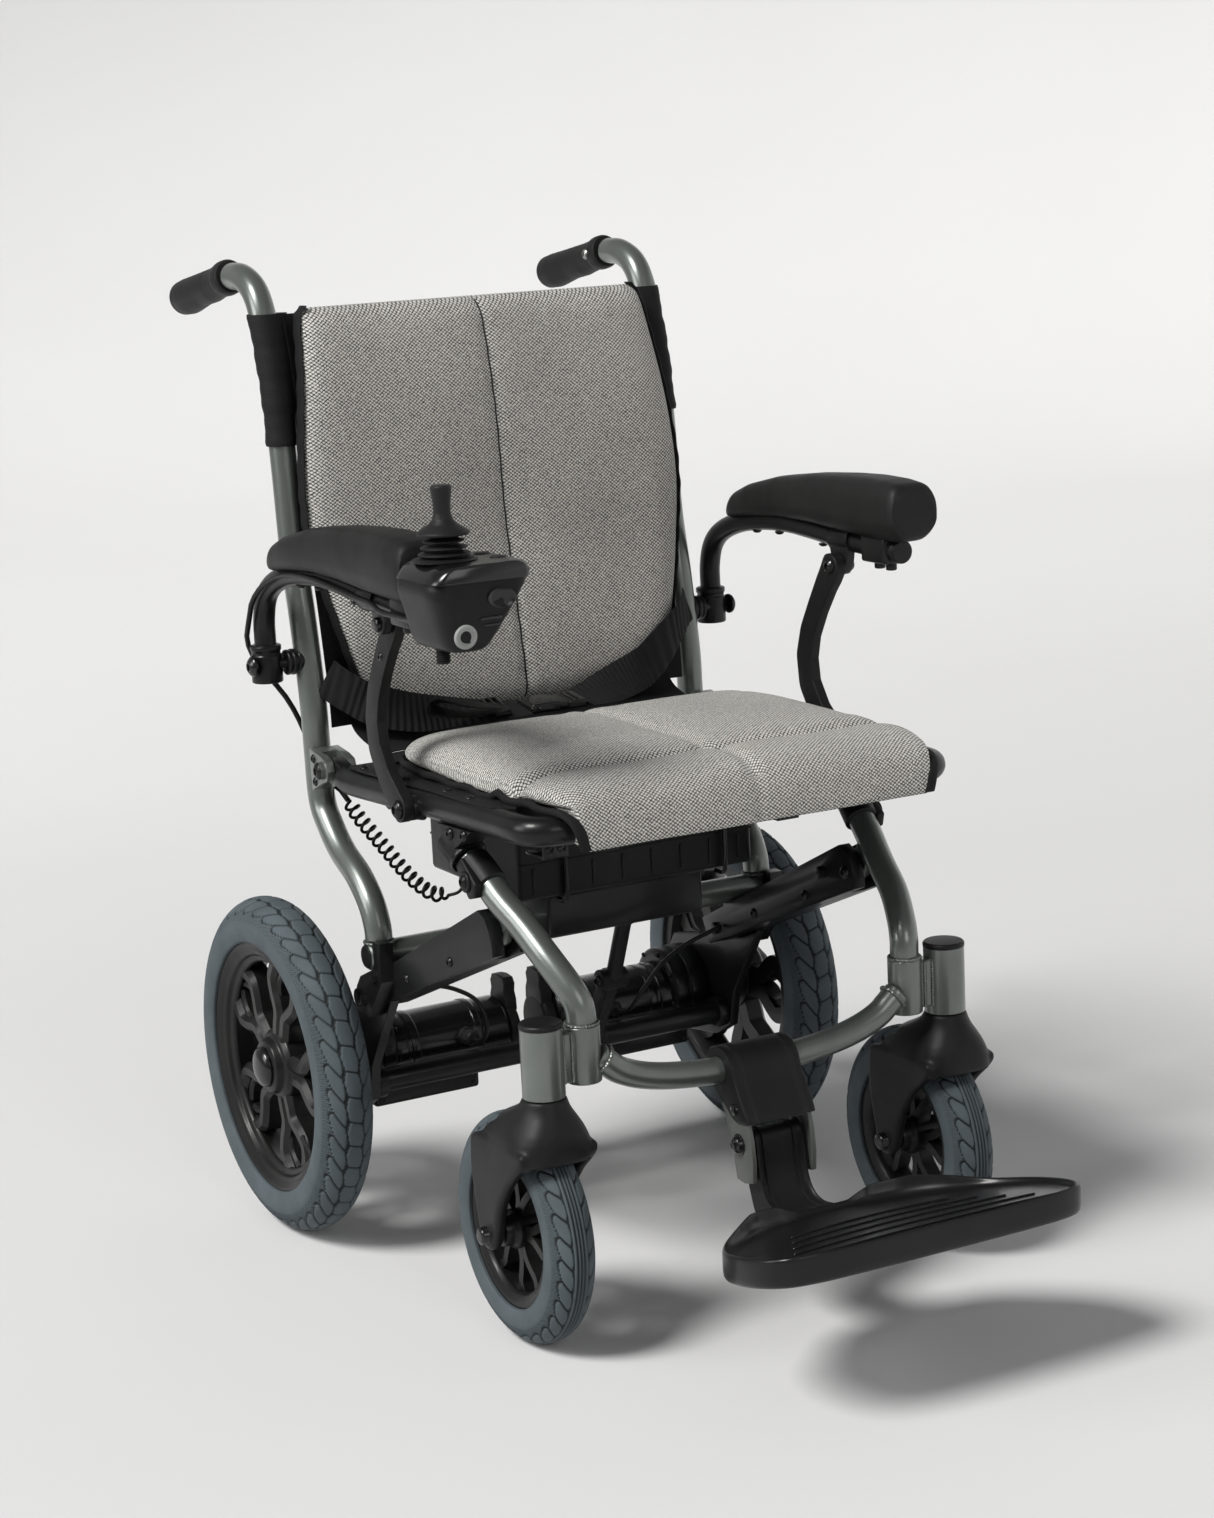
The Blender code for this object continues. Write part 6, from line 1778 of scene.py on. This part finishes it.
def build_under_seat():
    hy, hz = BACK_HINGE
    shell = brick((-0.12, -0.01, 0.337), (0.12, 0.165, 0.4), 0.005, 4)
    ledge = brick((-0.1195, -0.0105, 0.369), (0.1195, 0.1655, 0.3712), 0.0008, 2)
    make("battery_case", joined(shell, ledge), PLASTIC, "seat_frame", ("battery_pack",))
    ribs = [brick((x - 0.0015, -0.0112, 0.343), (x + 0.0015, -0.0095, 0.366), 0.0006, 2)
            for x in np.arange(-0.105, 0.106, 0.03)]
    ribs.append(brick((-0.03, -0.0118, 0.378), (0.03, -0.009, 0.393), 0.0015, 2))
    make("battery_ribs", joined(*ribs), PLASTIC, "seat_frame")
    tray = joined(
        brick((-0.08, 0.013, 0.293), (0.08, 0.098, 0.334), 0.004, 4),
        brick((-0.0815, 0.0115, 0.33), (0.0815, 0.0995, 0.3366), 0.0012, 2),
    )
    make("battery_cradle", tray, BLACK, "seat_frame", ("battery_tray",))
    softened("seat_ladder", "seat_cross_bars", 0.0012, BLACK, "seat_frame")
    loops = []
    for xx in (-0.075, 0.088):
        loops.append(pipe(curved([
            (xx, -0.008, 0.418), (xx, -0.0135, 0.398), (xx, -0.015, 0.37),
            (xx, -0.0145, 0.342), (xx, -0.0095, 0.333), (xx, 0.004, 0.332),
        ], 0.003), 0.0022, 12))
    make("hanger_loops", joined(*loops), DARK_BOLT, "seat_frame")
    for side in SIDES:
        softened("ferrule_" + side, "leg_ferrule_" + side, 0.0022, CAST, "seat_frame",
                 angle=40)
        a, b = Vector((0.1922, -0.0632, 0.4004)), Vector((0.196, -0.043, 0.415))
        way = (b - a).normalized()
        bits = joined(
            turned([
                (0, 12.8), (0, 17.1), (4, 17.1), (4, 12.8), (0, 12.8),
            ], 0.7, 2, a - way * 0.0006, way, 36),
            bolt((0.2071, -0.06, 0.4225), "X", 0.0052),
            bolt((0.2071, -0.086, 0.425), "X", 0.0052),
            bolt((0.2086, -0.083, 0.385), "X", 0.0062, 0.003),
        )
        one_side("ferrule_bolts", side, bits, DARK_BOLT, "seat_frame")
        plate = joined(
            brick((0.14, -0.142, 0.408), (0.164, -0.112, 0.4108), 0.0008, 2),
            brick((0.14, -0.144, 0.408), (0.164, -0.1415, 0.43), 0.0008, 2),
            bolt((0.146, -0.144, 0.417), (0, -1, 0), 0.0046, 0.003),
            bolt((0.158, -0.144, 0.417), (0, -1, 0), 0.0046, 0.003),
        )
        one_side("corner_bracket", side, plate, DARK_BOLT, "seat_frame")
        # the split collar that grips the top of the leg, with its clamp bolt
        collar = joined(
            pipe(mm([(191.4, -66.5, 397.8), (189.3, -76.5, 390.4), (186.8, -90.5, 379.5)]),
                 0.0152, 36),
            slab(mm([
                (-70, 386), (-64, 396), (-74, 404), (-99, 385), (-96, 373), (-85, 370),
            ]), "X", 0.198, 0.2062, 0.0018),
            turned([
                (0, 0), (0, 9.2), (3, 9.2), (4, 8), (4, 0),
            ], 0.6, 2, (0.205, -0.083, 0.385), "X", 28),
        )
        one_side("leg_collar", side, collar, CAST, "seat_frame")
        softened("hinge_fork_" + side, "hinge_casting_" + side, 0.0026, PAINT, "back_frame",
                 steps=4, angle=40)
        heads = joined(
            bolt((0.2188, hy, hz), "X", 0.008, 0.003),
            bolt((0.214, 0.202, hz + 0.008), "X", 0.0044, 0.0024),
            bolt((0.214, 0.2005, hz - 0.013), "X", 0.0044, 0.0024),
        )
        one_side("hinge_bolts", side, heads, DARK_BOLT, "back_frame")


# ------------------------------------------------------------------ cords and belt
COIL_AXIS = mm([
    (-180, 208, 402), (-176, 195, 388), (-170, 179, 374), (-164, 163, 360), (-159, 149, 348),
    (-153, 132, 336), (-145, 114, 327), (-135, 100, 326),
])
COIL_TAIL = mm([(-135, 100, 326), (-128, 94, 329), (-123, 90, 337), (-118, 88, 345)])
LEAD = mm([
    (-262, -133.5, 618), (-260, -125, 616.5), (-256, -105, 615), (-254.6, -80, 615),
    (-254.6, -50, 615.5), (-251.2, -25, 619), (-250.8, 10, 621.2), (-250.8, 55, 625),
    (-250.8, 95, 627.5), (-250.8, 135, 627), (-251.4, 175, 621), (-252.4, 207, 608),
    (-252.8, 229, 592), (-252, 240, 575), (-250.5, 252, 558), (-243, 262, 541), (-233, 261, 524),
    (-224, 255, 510), (-216, 249, 496), (-208, 246, 478), (-201, 245, 458), (-197, 246, 438),
    (-192, 244, 422), (-185, 230, 415), (-182.05, 214.66, 409.17), (-180.1, 208.33, 402.36),
])


def cord_curve(name, points, diameter, body, replaces=None):
    data = bpy.data.curves.new(name, "CURVE")
    data.dimensions = "3D"
    data.bevel_depth = diameter / 2
    data.bevel_resolution = 4
    data.use_fill_caps = True
    spline = data.splines.new("POLY")
    spline.points.add(len(points) - 1)
    for target, point in zip(spline.points, points):
        target.co = (*point, 1.0)
    data.materials.append(CABLE)
    obj = bpy.data.objects.new(name, data)
    bpy.context.collection.objects.link(obj)
    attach(obj, body)
    if replaces:
        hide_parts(replaces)
    return obj


def build_cords():
    lead = [tuple(p) for p in curved(LEAD, 0.0125)]
    obj = cord_curve("controller_lead", lead, 0.005, "armrest_right", "controller_cable")
    axis = curved(COIL_AXIS, 0.0006)
    turns = 16
    count = turns * 18
    helix = []
    normal = Vector((1, 0, 0))
    for i in range(count + 1):
        t = i / count
        at = t * (len(axis) - 1)
        k = min(int(at), len(axis) - 2)
        p = axis[k].lerp(axis[k + 1], at - k)
        tangent = (axis[min(k + 2, len(axis) - 1)] - axis[max(k - 1, 0)]).normalized()
        normal = (normal - tangent * normal.dot(tangent)).normalized()
        other = tangent.cross(normal)
        ends = min(1.0, t / 0.04, (1 - t) / 0.04)
        r = 0.006 * ends
        a = 2 * math.pi * turns * t
        helix.append(tuple(p + (normal * math.cos(a) + other * math.sin(a)) * r))
    helix += [tuple(p) for p in curved(COIL_TAIL, 0.003)[1:]]
    obj = cord_curve("coiled_lead", helix, 0.003, "seat_frame", "coil_cable")


def build_motor_leads():
    """The short leads from inside each side beam to the motor's gland."""
    for side, sign in SIDES.items():
        route = mm([
            (160, 118, 244), (148, 119, 240), (124, 123, 231), (100, 129, 215), (85, 140, 191),
            (79, 156, 169), (78, 172, 161), (78, 186, 160),
        ])
        lead = [(sign * p.x, p.y, p.z) for p in curved(route, 0.004)]
        obj = cord_curve("motor_lead_" + side, lead, 0.0042, "rear_chassis")


def ribbon(name, rows, width, thick, ripple):
    """A flat strap along rows of (point, up): width lies along the second vector."""
    points = curved([tuple(r[0]) + tuple(r[1]) for r in rows], 0.004)
    spots = (-0.5, -0.46, -0.3, -0.1, 0.1, 0.3, 0.46, 0.5)
    round_the_strap = [(s, 1) for s in spots] + [(s, -1) for s in reversed(spots)]
    rings, uvs = [], []
    walked = 0.0
    before = None
    for i, row in enumerate(points):
        p = Vector(tuple(row)[:3])
        w = Vector(tuple(row)[3:]).normalized()
        q = points[min(i + 1, len(points) - 1)]
        o = points[max(i - 1, 0)]
        t = (Vector(tuple(q)[:3]) - Vector(tuple(o)[:3])).normalized()
        n = t.cross(w).normalized()
        w = n.cross(t)
        if before is not None:
            walked += (p - before).length
        before = p
        ring = []
        for s, face in round_the_strap:
            bow = ripple * math.sin(s * 5 + i * 0.35)
            rim = 0.4 if abs(s) == 0.5 else 1
            ring.append(p + w * width * s + n * (face * thick / 2 + bow) * rim)
        rings.append(ring)
        uvs += [(walked, s * width) for s, _ in round_the_strap]
    points, faces = skin_rings(rings)
    mesh = bpy.data.meshes.new(name)
    mesh.from_pydata([tuple(p) for p in points], [], faces)
    layer = mesh.uv_layers.new(name="weave")
    for loop in mesh.loops:
        layer.data[loop.index].uv = uvs[loop.vertex_index]
    mesh.shade_smooth()
    mesh.set_sharp_from_angle(angle=math.radians(50))
    mesh.materials.append(WEBBING)
    obj = bpy.data.objects.new(name, mesh)
    bpy.context.collection.objects.link(obj)
    return obj


def build_belt():
    left = [
        ((0.193, 0.212, 0.542), (0.0, 0.1, 1.0)), ((0.18, 0.2, 0.533), (0.1, 0.0, 1.0)),
        ((0.16, 0.1885, 0.52), (0.3, 0.1, 1.0)), ((0.125, 0.1765, 0.496), (0.35, 0.3, 1.0)),
        ((0.09, 0.166, 0.486), (0.3, 0.8, 0.9)), ((0.055, 0.15, 0.481), (0.1, 1.0, 0.5)),
        ((0.026, 0.136, 0.4795), (0.0, 1.0, 0.2)),
    ]
    right = [
        ((-0.193, 0.212, 0.518), (0.0, 0.1, 1.0)), ((-0.18, 0.197, 0.506), (-0.1, 0.0, 1.0)),
        ((-0.16, 0.182, 0.493), (-0.3, 0.2, 1.0)), ((-0.125, 0.17, 0.483), (-0.3, 0.6, 0.9)),
        ((-0.085, 0.156, 0.48), (-0.1, 1.0, 0.6)), ((-0.05, 0.143, 0.479), (0.0, 1.0, 0.3)),
        ((-0.026, 0.137, 0.479), (0.0, 1.0, 0.2)),
    ]
    for name, rows in (("left", left), ("right", right)):
        strap = ribbon("belt_strap_" + name, rows, 0.038, 0.0014, 0.0006)
        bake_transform(strap)
    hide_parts("seat_belt")
    rows = curved(mm([(140, 456), (162, 456.5), (185, 460), (205, 466.5), (216.5, 476)]), 0.004)
    rings = []
    for p in rows:
        ring = []
        for lift in (0.0, 0.001):
            spots = [-0.17 + 0.34 * i / 40 for i in range(41)]
            spots = spots if lift else spots[::-1]
            ring += [(x, p.x, p.y + lift - 0.0016 * math.sin(x * 42) ** 2) for x in spots]
        rings.append(ring)
    apron = make(
        "seat_apron", skin_rings(rings), MESH_CLOTH,
        ("seat_frame", "back_frame", (0.0, 0.15, 0.456), (0.0, 0.212, 0.472)),
        angle=50,
    )
    flat_map(apron, "XY")
    loose = ribbon("belt_tail", [
        ((-0.05, 0.137, 0.483), (0.0, 1.0, 0.2)), ((-0.085, 0.133, 0.482), (0.0, 1.0, 0.1)),
        ((-0.115, 0.13, 0.488), (0.2, 1.0, 0.3)), ((-0.128, 0.128, 0.494), (0.9, 0.8, 0.1)),
        ((-0.12, 0.127, 0.498), (0.9, 0.9, -0.3)), ((-0.095, 0.125, 0.493), (0.1, 1.0, 0.1)),
        ((-0.065, 0.123, 0.487), (0.0, 1.0, 0.1)),
    ], 0.024, 0.0013, 0.0005)
    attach(loose, "seat_frame")
    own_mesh(loose)
    turn = Matrix.Translation((0.0, 0.136, 0.481)) @ Matrix.Rotation(0.16, 4, "X")
    socket = joined(
        brick((-0.028, -0.0135, -0.0045), (0.002, 0.0135, 0.0045), 0.0022, 3),
        brick((-0.03, -0.0155, -0.003), (-0.025, 0.0155, 0.003), 0.0014, 3),
        brick((-0.022, -0.016, -0.0022), (-0.006, 0.016, 0.0022), 0.0014, 3),
    )
    tongue = joined(
        brick((0.0015, -0.0125, -0.0028), (0.027, 0.0125, 0.0028), 0.0014, 3),
        brick((0.01, -0.015, -0.0036), (0.028, 0.015, 0.0036), 0.0016, 3),
        brick((0.013, -0.0115, 0.003), (0.0155, 0.0115, 0.0048), 0.0006, 2),
        brick((0.019, -0.0115, 0.003), (0.0215, 0.0115, 0.0048), 0.0006, 2),
    )
    make("belt_buckle", placed(joined(socket, tongue), turn), GLOSS, "seat_frame")
    slider = placed(joined(
        brick((-0.008, -0.0155, -0.002), (-0.0055, 0.0155, 0.003), 0.0008, 2),
        brick((-0.0012, -0.0155, -0.002), (0.0012, 0.0155, 0.003), 0.0008, 2),
        brick((0.0055, -0.0155, -0.002), (0.008, 0.0155, 0.003), 0.0008, 2),
        brick((-0.008, -0.0165, -0.002), (0.008, -0.014, 0.003), 0.0008, 2),
        brick((-0.008, 0.014, -0.002), (0.008, 0.0165, 0.003), 0.0008, 2),
    ), Matrix.Translation((-0.056, 0.142, 0.482)) @ Matrix.Rotation(0.3, 4, "X"))
    make("belt_slider", slider, GLOSS, "seat_frame")


build_stage()
build_cords()
build_motor_leads()
build_back_frame()
build_back_cushion()
build_seat_cushion()
build_seat_frame()
build_footrest()
build_arms()
build_controller()
build_rear_wheels()
build_casters()
build_chassis()
build_under_seat()
build_belt()
